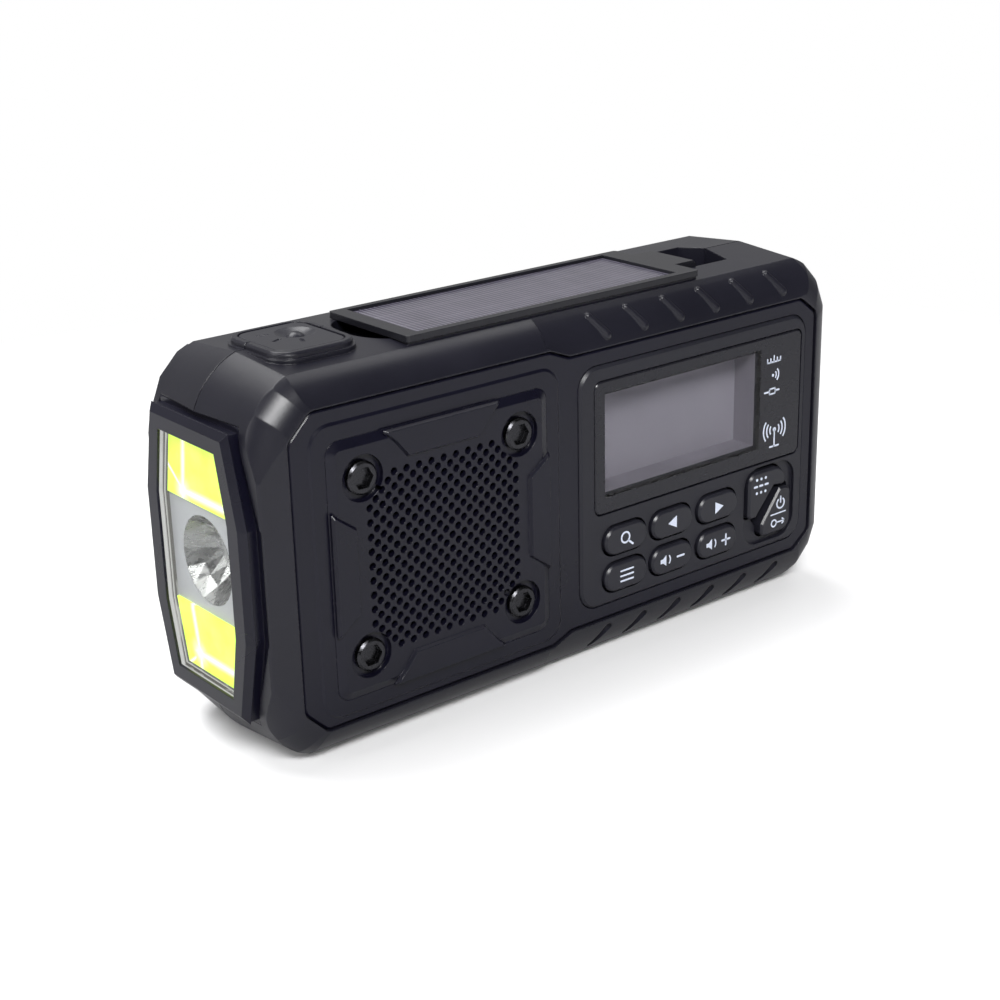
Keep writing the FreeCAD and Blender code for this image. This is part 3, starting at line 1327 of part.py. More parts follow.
def make_port_cover():
    """A rubber lid over the charging slot, hinged along its lower edge at its outer face."""
    low, high = COVER_X
    lid = slab_x(rounded(rectangle(PORT_Y, COVER_Z), 2.2), low, high)
    grip = block((high - 0.2, high + 0.8), (-3.5, 3.5), (COVER_Z[1] - 4.0, COVER_Z[1] - 2.8))
    plug = block((79.2, low + 0.2), (-3.9, 3.9), (USB_Z - 1.2, USB_Z + 1.2))
    barrel = rod_y(high, COVER_Z[0], 0.8, PORT_Y[0] + 1.5, PORT_Y[1] - 1.5)
    return merged([lid, grip, plug, barrel])


def write_parts():
    builders = {
        "front_case": make_front_case,
        "rear_case": make_rear_case,
        "case_screws": make_case_screws,
        "base_pad": make_base_pad,
        "fascia": make_fascia,
        "speaker_grille": make_speaker_grille,
        "grille_screws": make_grille_screws,
        "speaker_basket": make_speaker_basket,
        "speaker_cone": make_speaker_cone,
        "speaker_magnet": make_speaker_magnet,
        "control_panel": make_control_panel,
        "display_lens": make_display_lens,
        "lcd_frame": make_lcd_frame,
        "lcd_panel": make_lcd_panel,
        "key_board": make_key_board,
        "main_board": make_main_board,
        "tact_switches": make_tact_switches,
        "scan_key": lambda: oval_key(0, 0),
        "menu_key": lambda: oval_key(0, 1),
        "left_key": lambda: oval_key(1, 0),
        "right_key": lambda: oval_key(2, 0),
        "volume_down_key": lambda: oval_key(1, 1),
        "volume_up_key": lambda: oval_key(2, 1),
        "alarm_key": make_alarm_key,
        "power_key": make_power_key,
        "lamp_bezel": make_lamp_bezel,
        "lamp_lens": make_lamp_lens,
        "lamp_plate": make_lamp_plate,
        "cob_panels": make_cob_panels,
        "torch_reflector": make_torch_reflector,
        "torch_led": make_torch_led,
        "lamp_board": make_lamp_board,
        "lamp_button": make_lamp_button,
        "solar_flap": make_solar_flap,
        "solar_cell": make_solar_cell,
        "flap_hinge_pin": make_flap_hinge_pin,
        "reading_lamp_lens": make_reading_lamp_lens,
        "reading_lamp_board": make_reading_lamp_board,
        "crank_hub": make_crank_hub,
        "crank_fold_pin": make_crank_fold_pin,
        "crank_arm": make_crank_arm,
        "knob_pin": make_knob_pin,
        "crank_knob": make_crank_knob,
        "drive_gear": make_drive_gear,
        "idler_gear": make_idler_gear,
        "idler_pin": make_idler_pin,
        "dynamo_rotor": make_dynamo_rotor,
        "dynamo_body": make_dynamo_body,
        "gear_plate": make_gear_plate,
        "battery_cells": make_battery_cells,
        "battery_tray": make_battery_tray,
        "aerial_base": make_aerial_base,
        "aerial_elbow_pin": make_aerial_elbow_pin,
        "aerial_tube": make_aerial_tube,
        "aerial_middle": make_aerial_middle,
        "aerial_upper": make_aerial_upper,
        "aerial_rod": make_aerial_rod,
        "port_block": make_port_block,
        "port_cover": make_port_cover,
    }
    os.makedirs("parts", exist_ok=True)
    for node, build in builders.items():
        shape = build()
        shape.exportStep(f"parts/{node}.step")
        print(f"{node:20s} valid {shape.isValid()} solids {len(shape.Solids)} volume {shape.Volume:.1f}")


write_parts()
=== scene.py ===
import bmesh
import bpy
import json
import math
import random
from mathutils import Matrix, Vector


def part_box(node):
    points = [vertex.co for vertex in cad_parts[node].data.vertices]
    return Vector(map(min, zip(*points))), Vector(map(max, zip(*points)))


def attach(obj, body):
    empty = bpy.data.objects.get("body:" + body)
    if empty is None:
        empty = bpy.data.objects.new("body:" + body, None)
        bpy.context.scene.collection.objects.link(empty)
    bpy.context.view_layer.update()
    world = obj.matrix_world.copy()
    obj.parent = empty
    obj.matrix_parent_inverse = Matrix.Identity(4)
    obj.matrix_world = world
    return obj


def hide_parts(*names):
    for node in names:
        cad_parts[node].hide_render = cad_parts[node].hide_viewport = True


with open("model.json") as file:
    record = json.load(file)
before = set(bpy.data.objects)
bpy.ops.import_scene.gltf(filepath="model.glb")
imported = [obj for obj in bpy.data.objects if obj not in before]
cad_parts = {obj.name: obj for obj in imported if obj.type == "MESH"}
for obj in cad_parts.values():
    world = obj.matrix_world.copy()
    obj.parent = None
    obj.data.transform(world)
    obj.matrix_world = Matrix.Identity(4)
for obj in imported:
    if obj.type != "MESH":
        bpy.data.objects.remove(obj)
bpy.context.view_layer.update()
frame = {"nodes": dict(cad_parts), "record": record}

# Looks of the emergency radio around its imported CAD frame. Lengths are in metres, except in names
# that end in _MM and in the outlines of the printed marks, which are in millimetres.

NODES = frame["nodes"]
SLOT_OF_NODE = {part["node"]: part["material_slot"] for part in frame["record"]["subparts"]}
MM = 0.001
SEED = 7
ACRYLIC_IOR = 1.49


# ---- shader helpers ----
class Shader:
    """A node material under construction, with short calls for the nodes used here."""

    def __init__(self, name):
        self.material = bpy.data.materials.new(name)
        self.material.use_nodes = True
        self.tree = self.material.node_tree
        self.bsdf = self.tree.nodes["Principled BSDF"]
        self.output = self.tree.nodes["Material Output"]
        self.coords = self.add("TexCoord").outputs["Object"]

    def add(self, kind, **settings):
        node = self.tree.nodes.new("ShaderNode" + kind)
        for key, value in settings.items():
            setattr(node, key, value)
        return node

    def feed(self, socket, value):
        if isinstance(value, bpy.types.NodeSocket):
            self.tree.links.new(value, socket)
        elif isinstance(value, (tuple, list)) and len(value) == 3 and socket.type == "RGBA":
            socket.default_value = (*value, 1.0)
        else:
            socket.default_value = value

    def set(self, **values):
        """Feeds the Principled shader; underscores in a name stand for spaces."""
        for key, value in values.items():
            self.feed(self.bsdf.inputs[key.replace("_", " ")], value)
        return self

    def math(self, operation, a, b=0.0):
        node = self.add("Math", operation=operation)
        self.feed(node.inputs[0], a)
        self.feed(node.inputs[1], b)
        return node.outputs[0]

    def ramp(self, value, low, high, out_low=0.0, out_high=1.0):
        node = self.add("MapRange")
        for index, item in enumerate((value, low, high, out_low, out_high)):
            self.feed(node.inputs[index], item)
        return node.outputs[0]

    def mix(self, factor, a, b):
        node = self.add("Mix", data_type="RGBA")
        self.feed(node.inputs["Factor"], factor)
        self.feed(node.inputs[6], a)
        self.feed(node.inputs[7], b)
        return node.outputs[2]

    def noise(self, scale, detail=2.0, stretch=(1.0, 1.0, 1.0), distortion=0.0):
        mapping = self.add("Mapping")
        self.feed(mapping.inputs["Vector"], self.coords)
        mapping.inputs["Scale"].default_value = stretch
        node = self.add("TexNoise")
        self.feed(node.inputs["Vector"], mapping.outputs[0])
        node.inputs["Scale"].default_value = scale
        node.inputs["Detail"].default_value = detail
        node.inputs["Distortion"].default_value = distortion
        return node.outputs["Fac"]

    def axis(self, index):
        split = self.add("SeparateXYZ")
        self.feed(split.inputs[0], self.coords)
        return split.outputs[index]

    def within(self, area):
        """1 inside a rectangle given as left, right, bottom and top in the X-Z plane."""
        left, right, bottom, top = area
        x, z = self.axis(0), self.axis(2)
        across = self.math("MULTIPLY", self.math("GREATER_THAN", x, left), self.math("LESS_THAN", x, right))
        upright = self.math("MULTIPLY", self.math("GREATER_THAN", z, bottom), self.math("LESS_THAN", z, top))
        return self.math("MULTIPLY", across, upright)

    def rounded_normal(self, radius):
        node = self.add("Bevel", samples=4)
        node.inputs["Radius"].default_value = radius
        return node.outputs[0]

    def bump(self, height, distance, strength=1.0, normal=None):
        node = self.add("Bump")
        self.feed(node.inputs["Height"], height)
        self.feed(node.inputs["Distance"], distance)
        self.feed(node.inputs["Strength"], strength)
        if normal is not None:
            self.feed(node.inputs["Normal"], normal)
        return node.outputs[0]

    def blend(self, factor, first, second):
        """Mixes two shaders."""
        node = self.add("MixShader")
        self.feed(node.inputs[0], factor)
        self.tree.links.new(first, node.inputs[1])
        self.tree.links.new(second, node.inputs[2])
        return node.outputs[0]

    def show(self, shader):
        """Makes a shader the look of the surface, in place of the Principled one."""
        self.tree.links.new(shader, self.output.inputs["Surface"])

    def edge_mask(self, normal):
        """1 along worn outer edges, 0 elsewhere, broken up by noise."""
        dot = self.add("VectorMath", operation="DOT_PRODUCT")
        self.feed(dot.inputs[0], normal)
        self.feed(dot.inputs[1], self.add("NewGeometry").outputs["Normal"])
        bend = self.ramp(dot.outputs["Value"], 0.99, 0.8)
        return self.math("MULTIPLY", bend, self.ramp(self.noise(900, 3), 0.35, 0.65, 0.2, 1.0))


def tinted(colour, factor):
    return tuple(min(1.0, channel * factor) for channel in colour)


def moulded(name, colour, roughness, grain=5200, depth=1.6e-5, edge=0.25 * MM, wear=0.25, specular=0.42,
            liner=None):
    """Moulded plastic: fine etched grain, slow drift in gloss and tone, and slightly polished edges."""
    s = Shader(name)
    normal = s.rounded_normal(edge)
    drift = s.noise(45, 3)
    grain_noise = s.noise(grain, 2)
    worn = s.edge_mask(normal)
    tone = s.mix(s.ramp(drift, 0.3, 0.7), tinted(colour, 0.85), tinted(colour, 1.2))
    tone = s.mix(s.ramp(grain_noise, 0.35, 0.7, 0.0, 0.35), tone, tinted(colour, 1.7))
    tone = s.mix(s.math("MULTIPLY", worn, wear), tone, tinted(colour, 6.0))
    if liner:
        # the walls of the display opening are pale
        tone = s.mix(s.within(liner), tone, LCD_WALL)
    gloss = s.ramp(drift, 0.3, 0.7, roughness - 0.03, roughness + 0.04)
    gloss = s.math("SUBTRACT", gloss, s.math("MULTIPLY", worn, 0.08))
    s.set(Base_Color=tone, Roughness=gloss, Specular_IOR_Level=specular)
    s.set(Normal=s.bump(grain_noise, depth, 1.0, normal))
    return s.material


def metal(name, colour, roughness, brush=(1.0, 1.0, 1.0), scale=600, depth=4e-6, streak=0.08):
    """Bare or plated metal, with brushing or turning marks stretched along one direction."""
    s = Shader(name)
    marks = s.noise(scale, 4, brush)
    s.set(Metallic=1.0)
    s.set(Base_Color=s.mix(s.ramp(marks, 0.3, 0.7), tinted(colour, 0.86), tinted(colour, 1.08)))
    s.set(Roughness=s.ramp(marks, 0.3, 0.7, max(roughness - streak, 0.02), roughness + streak))
    s.set(Normal=s.bump(marks, depth, 0.6, s.rounded_normal(0.15 * MM)))
    return s.material


def clear_sheet(s, tint, gloss_roughness, gloss):
    """See-through plastic with a mirror sheen on its outer faces."""
    scuffs = s.noise(320, 4, (1.0, 1.0, 0.25))
    see = s.add("BsdfTransparent")
    s.feed(see.inputs[0], tint)
    shine = s.add("BsdfGlossy")
    s.feed(shine.inputs["Color"], (1.0, 1.0, 1.0))
    s.feed(shine.inputs["Roughness"], s.ramp(scuffs, 0.3, 0.7, gloss_roughness, gloss_roughness + 0.03))
    fresnel = s.add("Fresnel")
    s.feed(fresnel.inputs["IOR"], ACRYLIC_IOR)
    outside = s.math("SUBTRACT", 1.0, s.add("NewGeometry").outputs["Backfacing"])
    share = s.math("MULTIPLY", s.math("MULTIPLY", fresnel.outputs[0], gloss), outside)
    return s.blend(share, see.outputs[0], shine.outputs[0])


def window_with_opening(name, tint, gloss_roughness, gloss, opening):
    """A clear window whose back is printed black, apart from an opening over the screen."""
    s = Shader(name)
    clear = clear_sheet(s, tint, gloss_roughness, gloss)
    smears = s.noise(160, 4, (1.0, 1.0, 2.0))
    s.set(Base_Color=s.mix(smears, (0.0095, 0.0095, 0.0140), (0.0120, 0.0120, 0.0165)))
    s.set(Roughness=s.ramp(smears, 0.3, 0.7, 0.24, 0.30), Specular_IOR_Level=0.4)
    s.set(Normal=s.rounded_normal(0.2 * MM))
    s.show(s.blend(s.within(opening), s.bsdf.outputs[0], clear))
    return s.material


def lens_with_painted_light_wall(name, tint, gloss_roughness, gloss, front_x, back_x):
    """A clear lens whose side wall glows with painted light: a painted white highlight near the front edge
    and painted grey-brown shade deeper in.
    """
    s = Shader(name)
    clear = clear_sheet(s, tint, gloss_roughness, gloss)
    split = s.add("SeparateXYZ")
    s.feed(split.inputs[0], s.add("NewGeometry").outputs["Normal"])
    sideways = s.ramp(s.math("ABSOLUTE", split.outputs[0]), 0.6, 0.4)
    depth = s.ramp(s.axis(0), front_x, back_x)
    # painted light on the side wall: a painted white highlight near the front edge, painted grey-brown shade
    # deeper in, and lighter painted streaks
    painted_light_streaks = s.noise(800, 3, (1.0, 0.3, 0.12))
    pale = s.mix(s.ramp(depth, 0.52, 0.70), (1.0, 1.0, 0.98), (0.17, 0.165, 0.15))
    pale = s.mix(s.ramp(painted_light_streaks, 0.55, 0.62, 0.0, 0.6), pale, (0.80, 0.80, 0.76))
    # the wall emits this painted light instead of being lit
    glow = s.add("Emission")
    s.feed(glow.inputs["Color"], pale)
    s.feed(glow.inputs["Strength"], 0.75)
    s.show(s.blend(s.math("MULTIPLY", sideways, 0.85), clear, glow.outputs[0]))
    return s.material


def line_glow(s, across, along, width):
    """Brightness of a soft line: 1 on the line, falling to 0 at width; along fades it towards its ends."""
    body = s.ramp(s.math("ABSOLUTE", across), 0.0, width, 1.0, 0.0)
    return s.math("MULTIPLY", s.math("POWER", body, 1.6), along)


def light_panel():
    """Yellow phosphor gel with painted pale reflections and fine wires seen on it through the lens, and a
    painted glow over the whole gel.
    """
    s = Shader("light_panel")
    y_mm = s.math("DIVIDE", s.axis(1), MM)
    z_mm = s.math("SUBTRACT", s.math("DIVIDE", s.axis(2), MM), LAMP_MID_Z_MM)
    upper = s.math("GREATER_THAN", z_mm, 0.0)
    reach = s.math("ABSOLUTE", z_mm)
    # the upright line leans from the inner end of each panel to its outer end
    lean = s.ramp(reach, 12.7, 24.0, 7.0, 5.2)
    # the level line crosses it, nearer to the torch on the upper panel than on the lower one
    level = s.math("ADD", s.math("MULTIPLY", upper, -8.8), 22.4)
    from_upright = s.math("SUBTRACT", y_mm, lean)
    from_level = s.math("SUBTRACT", reach, level)
    # the soft lines, the burst where they cross and the slanted ray are painted reflections
    on_upright = line_glow(s, from_upright, 0.9, 1.35)
    on_level = line_glow(s, from_level, s.ramp(y_mm, 8.5, 6.5), 1.5)
    squares = s.math("ADD", s.math("POWER", from_upright, 2.0), s.math("POWER", from_level, 2.0))
    distance = s.math("SQRT", squares)
    burst = s.math("POWER", s.ramp(distance, 0.2, 4.2, 1.0, 0.0), 1.9)
    slant = s.math("ADD", from_upright, s.math("MULTIPLY", from_level, -1.35))
    ray = line_glow(s, slant, s.ramp(y_mm, 7.0, 7.6), 1.1)
    glow = s.math("MAXIMUM", s.math("MAXIMUM", on_upright, on_level), s.math("MAXIMUM", burst, ray))
    upright_wire = line_glow(s, from_upright, s.ramp(distance, 9.0, 5.0), 0.22)
    level_wire = line_glow(s, from_level, s.ramp(y_mm, 7.2, 6.9), 0.22)
    broken = s.ramp(s.noise(420, 2), 0.42, 0.58)
    wire = s.math("MULTIPLY", s.math("MAXIMUM", upright_wire, level_wire), broken)
    gel = s.mix(s.ramp(s.noise(160, 3), 0.3, 0.7), (0.66, 0.96, 0.06), (0.82, 1.0, 0.13))
    tone = s.mix(s.math("MINIMUM", glow, 1.0), gel, (0.98, 1.0, 0.96))
    tone = s.mix(s.math("MULTIPLY", wire, 0.7), tone, (0.32, 0.36, 0.3))
    s.set(Base_Color=tone, Roughness=0.35, Normal=s.bump(s.noise(900, 2), 2e-5))
    # painted glow: the gel and its painted reflections emit light
    s.set(Emission_Color=tone, Emission_Strength=0.55)
    return s.material


def solar_glass():
    """Silicon strips under clear resin: fine fingers across, two bus bars along, purple-grey."""
    s = Shader("solar_glass")
    x_mm = s.math("DIVIDE", s.axis(0), MM)
    y_mm = s.math("DIVIDE", s.axis(1), MM)

    def stripes(value, pitch, width):
        phase = s.math("FRACT", s.math("DIVIDE", s.math("ADD", value, 500.0), pitch))
        return s.math("LESS_THAN", s.math("ABSOLUTE", s.math("SUBTRACT", phase, 0.5)), width / pitch / 2)

    fingers = stripes(x_mm, 1.2, 0.22)
    hairlines = stripes(x_mm, 0.4, 0.06)
    bar = stripes(y_mm, 9.2, 0.35)
    patches = s.ramp(s.noise(210, 4, (1.0, 0.3, 1.0)), 0.3, 0.7)
    crystal = s.mix(patches, (0.016, 0.013, 0.030), (0.040, 0.034, 0.058))
    tone = s.mix(s.math("MULTIPLY", hairlines, 0.25), crystal, (0.16, 0.15, 0.19))
    tone = s.mix(s.math("MULTIPLY", fingers, 0.55), tone, (0.30, 0.29, 0.34))
    tone = s.mix(s.math("MULTIPLY", bar, 0.25), tone, (0.22, 0.21, 0.25))
    s.set(Base_Color=tone, Roughness=0.45, Coat_Weight=0.55, Coat_Roughness=0.16)
    s.set(Normal=s.bump(s.noise(700, 3), 8e-6))
    return s.material


def liquid_crystal():
    """The unlit display: grey with a very fine pixel grid."""
    s = Shader("lcd_glass")
    pixel = 0.42 * MM
    x = s.math("FRACT", s.math("DIVIDE", s.axis(0), pixel))
    z = s.math("FRACT", s.math("DIVIDE", s.axis(2), pixel))
    grid = s.math("MAXIMUM", s.math("LESS_THAN", x, 0.1), s.math("LESS_THAN", z, 0.1))
    base = s.mix(s.ramp(s.noise(70, 3), 0.3, 0.7), (0.41, 0.39, 0.42), (0.46, 0.44, 0.47))
    s.set(Base_Color=s.mix(s.math("MULTIPLY", grid, 0.12), base, (0.2, 0.19, 0.21)), Roughness=0.45)
    s.set(Normal=s.bump(s.noise(2500, 1), 2e-6))
    return s.material


def paper_cone():
    """Black paper pulp with its fibres showing."""
    s = Shader("cone_paper")
    fibre = s.noise(2600, 5, (1.0, 3.0, 1.0), 0.6)
    s.set(Base_Color=s.mix(s.ramp(fibre, 0.3, 0.7), (0.012, 0.012, 0.012), (0.035, 0.034, 0.032)))
    s.set(Roughness=0.9, Normal=s.bump(fibre, 6e-5))
    return s.material


def circuit_board():
    """Green solder resist with copper tracks showing through it."""
    s = Shader("circuit_board")
    cells = s.add("TexVoronoi", feature="DISTANCE_TO_EDGE", distance="MANHATTAN")
    s.feed(cells.inputs["Vector"], s.coords)
    s.feed(cells.inputs["Scale"], 320)
    track = s.ramp(cells.outputs["Distance"], 0.05, 0.09, 1.0, 0.0)
    s.set(Base_Color=s.mix(track, (0.006, 0.07, 0.025), (0.02, 0.16, 0.05)), Roughness=0.3)
    s.set(Normal=s.bump(track, 3e-5), Coat_Weight=0.4)
    return s.material


def printed_ink():
    """Pale ink, slightly speckled."""
    s = Shader("printed_ink")
    speckle = s.noise(5000, 2)
    tone = s.mix(s.ramp(speckle, 0.35, 0.7), (0.62, 0.67, 0.80), (0.72, 0.77, 0.88))
    s.set(Base_Color=tone, Roughness=0.55)
    s.set(Normal=s.bump(speckle, 6e-6))
    return s.material


def sleeve_wrap():
    """Shrink sleeve with a plain colour band at one end."""
    s = Shader("cell_wrap")
    band = s.math("GREATER_THAN", s.math("SINE", s.math("MULTIPLY", s.axis(0), 95.0)), 0.55)
    s.set(Base_Color=s.mix(band, (0.02, 0.09, 0.3), (0.5, 0.5, 0.52)), Roughness=0.28)
    s.set(Normal=s.bump(s.noise(350, 3, (0.2, 1.0, 1.0)), 5e-5))
    return s.material


def rubber(name, colour):
    """Matt black rubber with pores and a little dust."""
    s = Shader(name)
    pores = s.noise(3200, 3)
    dust = s.ramp(s.noise(60, 4), 0.45, 0.75)
    s.set(Base_Color=s.mix(s.math("MULTIPLY", dust, 0.35), colour, (0.075, 0.075, 0.075)), Roughness=0.72)
    s.set(Normal=s.bump(pores, 3e-5, 1.0, s.rounded_normal(0.35 * MM)), Specular_IOR_Level=0.35)
    return s.material


def silver_plate():
    """Satin vacuum-plated plastic around the torch, brightened by a faint painted glow."""
    s = Shader("silver_plate")
    marks = s.noise(1500, 3)
    s.set(Metallic=0.1, Base_Color=s.mix(marks, (0.40, 0.40, 0.43), (0.45, 0.45, 0.48)), Roughness=0.42)
    # painted glow: the plate emits a little light to brighten it
    s.set(Emission_Color=(0.8, 0.8, 0.85), Emission_Strength=0.06)
    s.set(Normal=s.bump(marks, 6e-6))
    return s.material


def frosted():
    """Milky plastic that lets some light through."""
    s = Shader("diffuser")
    haze = s.noise(1800, 3)
    s.set(Base_Color=s.mix(haze, (0.78, 0.78, 0.76), (0.86, 0.86, 0.84)), Roughness=0.5)
    s.set(Transmission_Weight=0.35, Normal=s.bump(haze, 2e-5))
    return s.material


PLATE_LOW, PLATE_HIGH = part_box("lamp_plate")
LAMP_MID_Z_MM = (PLATE_LOW.z + PLATE_HIGH.z) / 2 / MM
LENS_FRONT_X, LENS_BACK_X = (corner.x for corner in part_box("lamp_lens"))
LCD_LOW, LCD_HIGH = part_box("lcd_frame")
LCD_FRAME_EDGE = 1.4 * MM
LCD_WALL = (0.29, 0.275, 0.30)


def lcd_opening(grow):
    """The opening of the display surround, larger by grow on every side."""
    inset = LCD_FRAME_EDGE - grow
    return LCD_LOW.x + inset, LCD_HIGH.x - inset, LCD_LOW.z + inset, LCD_HIGH.z - inset


MATERIALS = {
    "case_plastic": moulded("case_plastic", (0.0078, 0.0076, 0.0125), 0.32, edge=0.4 * MM, wear=0.10),
    "fascia_plastic": moulded("fascia_plastic", (0.0036, 0.0034, 0.0090), 0.29, grain=7000, depth=7e-6,
                              wear=0.14, specular=0.36),
    "panel_plastic": moulded("panel_plastic", (0.0085, 0.0085, 0.0135), 0.40, grain=6000, depth=1e-5,
                             wear=0.16, liner=lcd_opening(0.05 * MM)),
    "key_plastic": moulded("key_plastic", (0.0110, 0.0110, 0.0160), 0.32, grain=6500, depth=1e-5, wear=0.30),
    "flap_plastic": moulded("flap_plastic", (0.0085, 0.0085, 0.0115), 0.30, wear=0.16),
    "crank_plastic": moulded("crank_plastic", (0.0095, 0.0095, 0.0130), 0.34, wear=0.2),
    "inner_plastic": moulded("inner_plastic", (0.012, 0.012, 0.012), 0.5, wear=0.1),
    "lcd_bezel": moulded("lcd_bezel", LCD_WALL, 0.6, wear=0.02),
    "switch_plastic": moulded("switch_plastic", (0.03, 0.03, 0.03), 0.45),
    "gear_acetal": moulded("gear_acetal", (0.72, 0.70, 0.63), 0.35, depth=6e-6, wear=0.02),
    "display_window": window_with_opening("display_window", (0.80, 0.80, 0.82), 0.03, 0.6,
                                          lcd_opening(0.9 * MM)),
    "lcd_glass": liquid_crystal(),
    "clear_lens": lens_with_painted_light_wall("clear_lens", (0.98, 0.99, 0.98), 0.015, 0.6,
                                      LENS_FRONT_X, LENS_BACK_X),
    "diffuser": frosted(),
    "solar_glass": solar_glass(),
    "silver_plate": silver_plate(),
    "light_panel": light_panel(),
    "reflector_chrome": metal("reflector_chrome", (0.36, 0.355, 0.36), 0.28, (0.15, 1.0, 1.0), 1100, 3e-6),
    "aerial_chrome": metal("aerial_chrome", (0.78, 0.78, 0.80), 0.12, (0.15, 1.0, 1.0), 2500, 2e-6, 0.05),
    "black_screw": metal("black_screw", (0.055, 0.055, 0.06), 0.30, scale=1800, depth=5e-6),
    "steel_pin": metal("steel_pin", (0.56, 0.56, 0.58), 0.24, scale=2400),
    "steel_plate": metal("steel_plate", (0.52, 0.53, 0.55), 0.34, (0.1, 1.0, 1.0), 1500),
    "dynamo_can": metal("dynamo_can", (0.56, 0.57, 0.58), 0.30, (1.0, 0.1, 1.0), 1500),
    "rotor_steel": metal("rotor_steel", (0.42, 0.42, 0.44), 0.32, (1.0, 8.0, 1.0), 900),
    "speaker_metal": moulded("speaker_metal", (0.022, 0.022, 0.024), 0.4),
    "magnet_ferrite": moulded("magnet_ferrite", (0.03, 0.03, 0.033), 0.62, grain=2500, depth=4e-5),
    "cone_paper": paper_cone(),
    "circuit_board": circuit_board(),
    "cell_wrap": sleeve_wrap(),
    "base_rubber": rubber("base_rubber", (0.016, 0.016, 0.016)),
    "cover_rubber": rubber("cover_rubber", (0.017, 0.017, 0.018)),
}
INK = printed_ink()

for node_name, node_object in NODES.items():
    node_object.data.materials.clear()
    node_object.data.materials.append(MATERIALS[SLOT_OF_NODE[node_name]])


# ---- mesh helpers ----
def finish_piece(mesh_builder, name, material, body, smooth=False):
    """Turns a bmesh into a piece that rides on a body."""
    bmesh.ops.recalc_face_normals(mesh_builder, faces=mesh_builder.faces)
    mesh = bpy.data.meshes.new(name)
    mesh_builder.to_mesh(mesh)
    mesh_builder.free()
    for polygon in mesh.polygons:
        polygon.use_smooth = smooth
    piece = bpy.data.objects.new(name, mesh)
    bpy.context.scene.collection.objects.link(piece)
    mesh.materials.append(material)
    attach(piece, body)
    return piece


def prism(builder, outline, front_y, back_y):
    """Adds a flat-sided solid between two Y planes; outline is (x, z) in millimetres."""
    rings = [[builder.verts.new((x * MM, y, z * MM)) for x, z in outline] for y in (front_y, back_y)]
    builder.faces.new(rings[0])
    builder.faces.new(rings[1][::-1])
    count = len(outline)
    for i in range(count):
        j = (i + 1) % count
        builder.faces.new((rings[0][i], rings[1][i], rings[1][j], rings[0][j]))


def circle_points(cx, cz, radius, angles):
    return [(cx + radius * math.cos(a), cz + radius * math.sin(a)) for a in angles]


def bar(x0, z0, x1, z1, width):
    """A round-ended stroke."""
    angle = math.atan2(z1 - z0, x1 - x0)
    outline = []
    for cx, cz, start in ((x1, z1, angle - math.pi / 2), (x0, z0, angle + math.pi / 2)):
        outline += circle_points(cx, cz, width / 2, [start + math.pi * k / 6 for k in range(7)])
    return [outline]


def arc(cx, cz, radius, width, start, end):
    """A curved stroke from start to end, in degrees; a full ring is made of two."""
    if end - start > 300:
        middle = (start + end) / 2
        return arc(cx, cz, radius, width, start, middle) + arc(cx, cz, radius, width, middle, end)
    steps = max(4, int((end - start) / 12))
    angles = [math.radians(start + (end - start) * k / steps) for k in range(steps + 1)]
    outer = circle_points(cx, cz, radius + width / 2, angles)
    inner = circle_points(cx, cz, radius - width / 2, angles)
    return [outer + inner[::-1]]


def disc(cx, cz, radius):
    return [circle_points(cx, cz, radius, [math.radians(20 * k) for k in range(18)])]


# ---- printed marks ----
STROKE = 0.42
INK_PROUD = 0.05 * MM
INK_SUNK = 0.04 * MM


def print_marks(name, outlines, centre_x_mm, centre_z_mm, surface_y, body):
    """Raised ink on a front-facing surface."""
    builder = bmesh.new()
    for outline in outlines:
        moved = [(x + centre_x_mm, z + centre_z_mm) for x, z in outline]
        prism(builder, moved, surface_y - INK_PROUD, surface_y + INK_SUNK)
    return finish_piece(builder, name, INK, body)


def speaker_mark():
    horn = [(-3.9, -0.5), (-3.1, -0.5), (-2.1, -1.35), (-2.1, 1.35), (-3.1, 0.5), (-3.9, 0.5)]
    return [horn] + arc(-2.3, 0, 1.5, STROKE * 0.85, -42, 42)


def list_mark():
    return [line for z in (1.25, 0, -1.25) for line in bar(-1.9, z, 1.9, z, STROKE)]


def plus_mark():
    return bar(1.3, 0, 3.9, 0, STROKE * 1.2) + bar(2.6, -1.3, 2.6, 1.3, STROKE * 1.2)


KEY_MARKS = {
    "scan_key": arc(-0.5, 0.35, 1.25, STROKE, 0, 360) + bar(0.5, -0.65, 1.75, -1.75, STROKE * 1.15),
    "menu_key": list_mark(),
    "left_key": [[(-1.55, 0), (1.15, -1.45), (1.15, 1.45)]],
    "right_key": [[(1.55, 0), (-1.15, 1.45), (-1.15, -1.45)]],
    "volume_down_key": speaker_mark() + bar(1.5, 0, 3.6, 0, STROKE * 1.2),
    "volume_up_key": speaker_mark() + plus_mark(),
}
for key, outlines in KEY_MARKS.items():
    low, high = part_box(key)
    centre = (low + high) / 2
    print_marks(key + "_mark", outlines, centre.x / MM, centre.z / MM, low.y, key)

# the alarm key has three dots, three dashes and three dots
signal = []
for row, dash in ((1.7, False), (0.0, True), (-1.7, False)):
    for column in (-1, 0, 1):
        if dash:
            signal += bar(column * 1.85 - 0.45, row, column * 1.85 + 0.45, row, STROKE * 1.25)
        else:
            signal += disc(column * 1.5, row, 0.36)
alarm_low, alarm_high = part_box("alarm_key")
alarm_x_mm, alarm_z_mm = alarm_low.x / MM + 4.85, alarm_high.z / MM - 4.3
print_marks("alarm_key_mark", signal, alarm_x_mm, alarm_z_mm, alarm_low.y, "alarm_key")

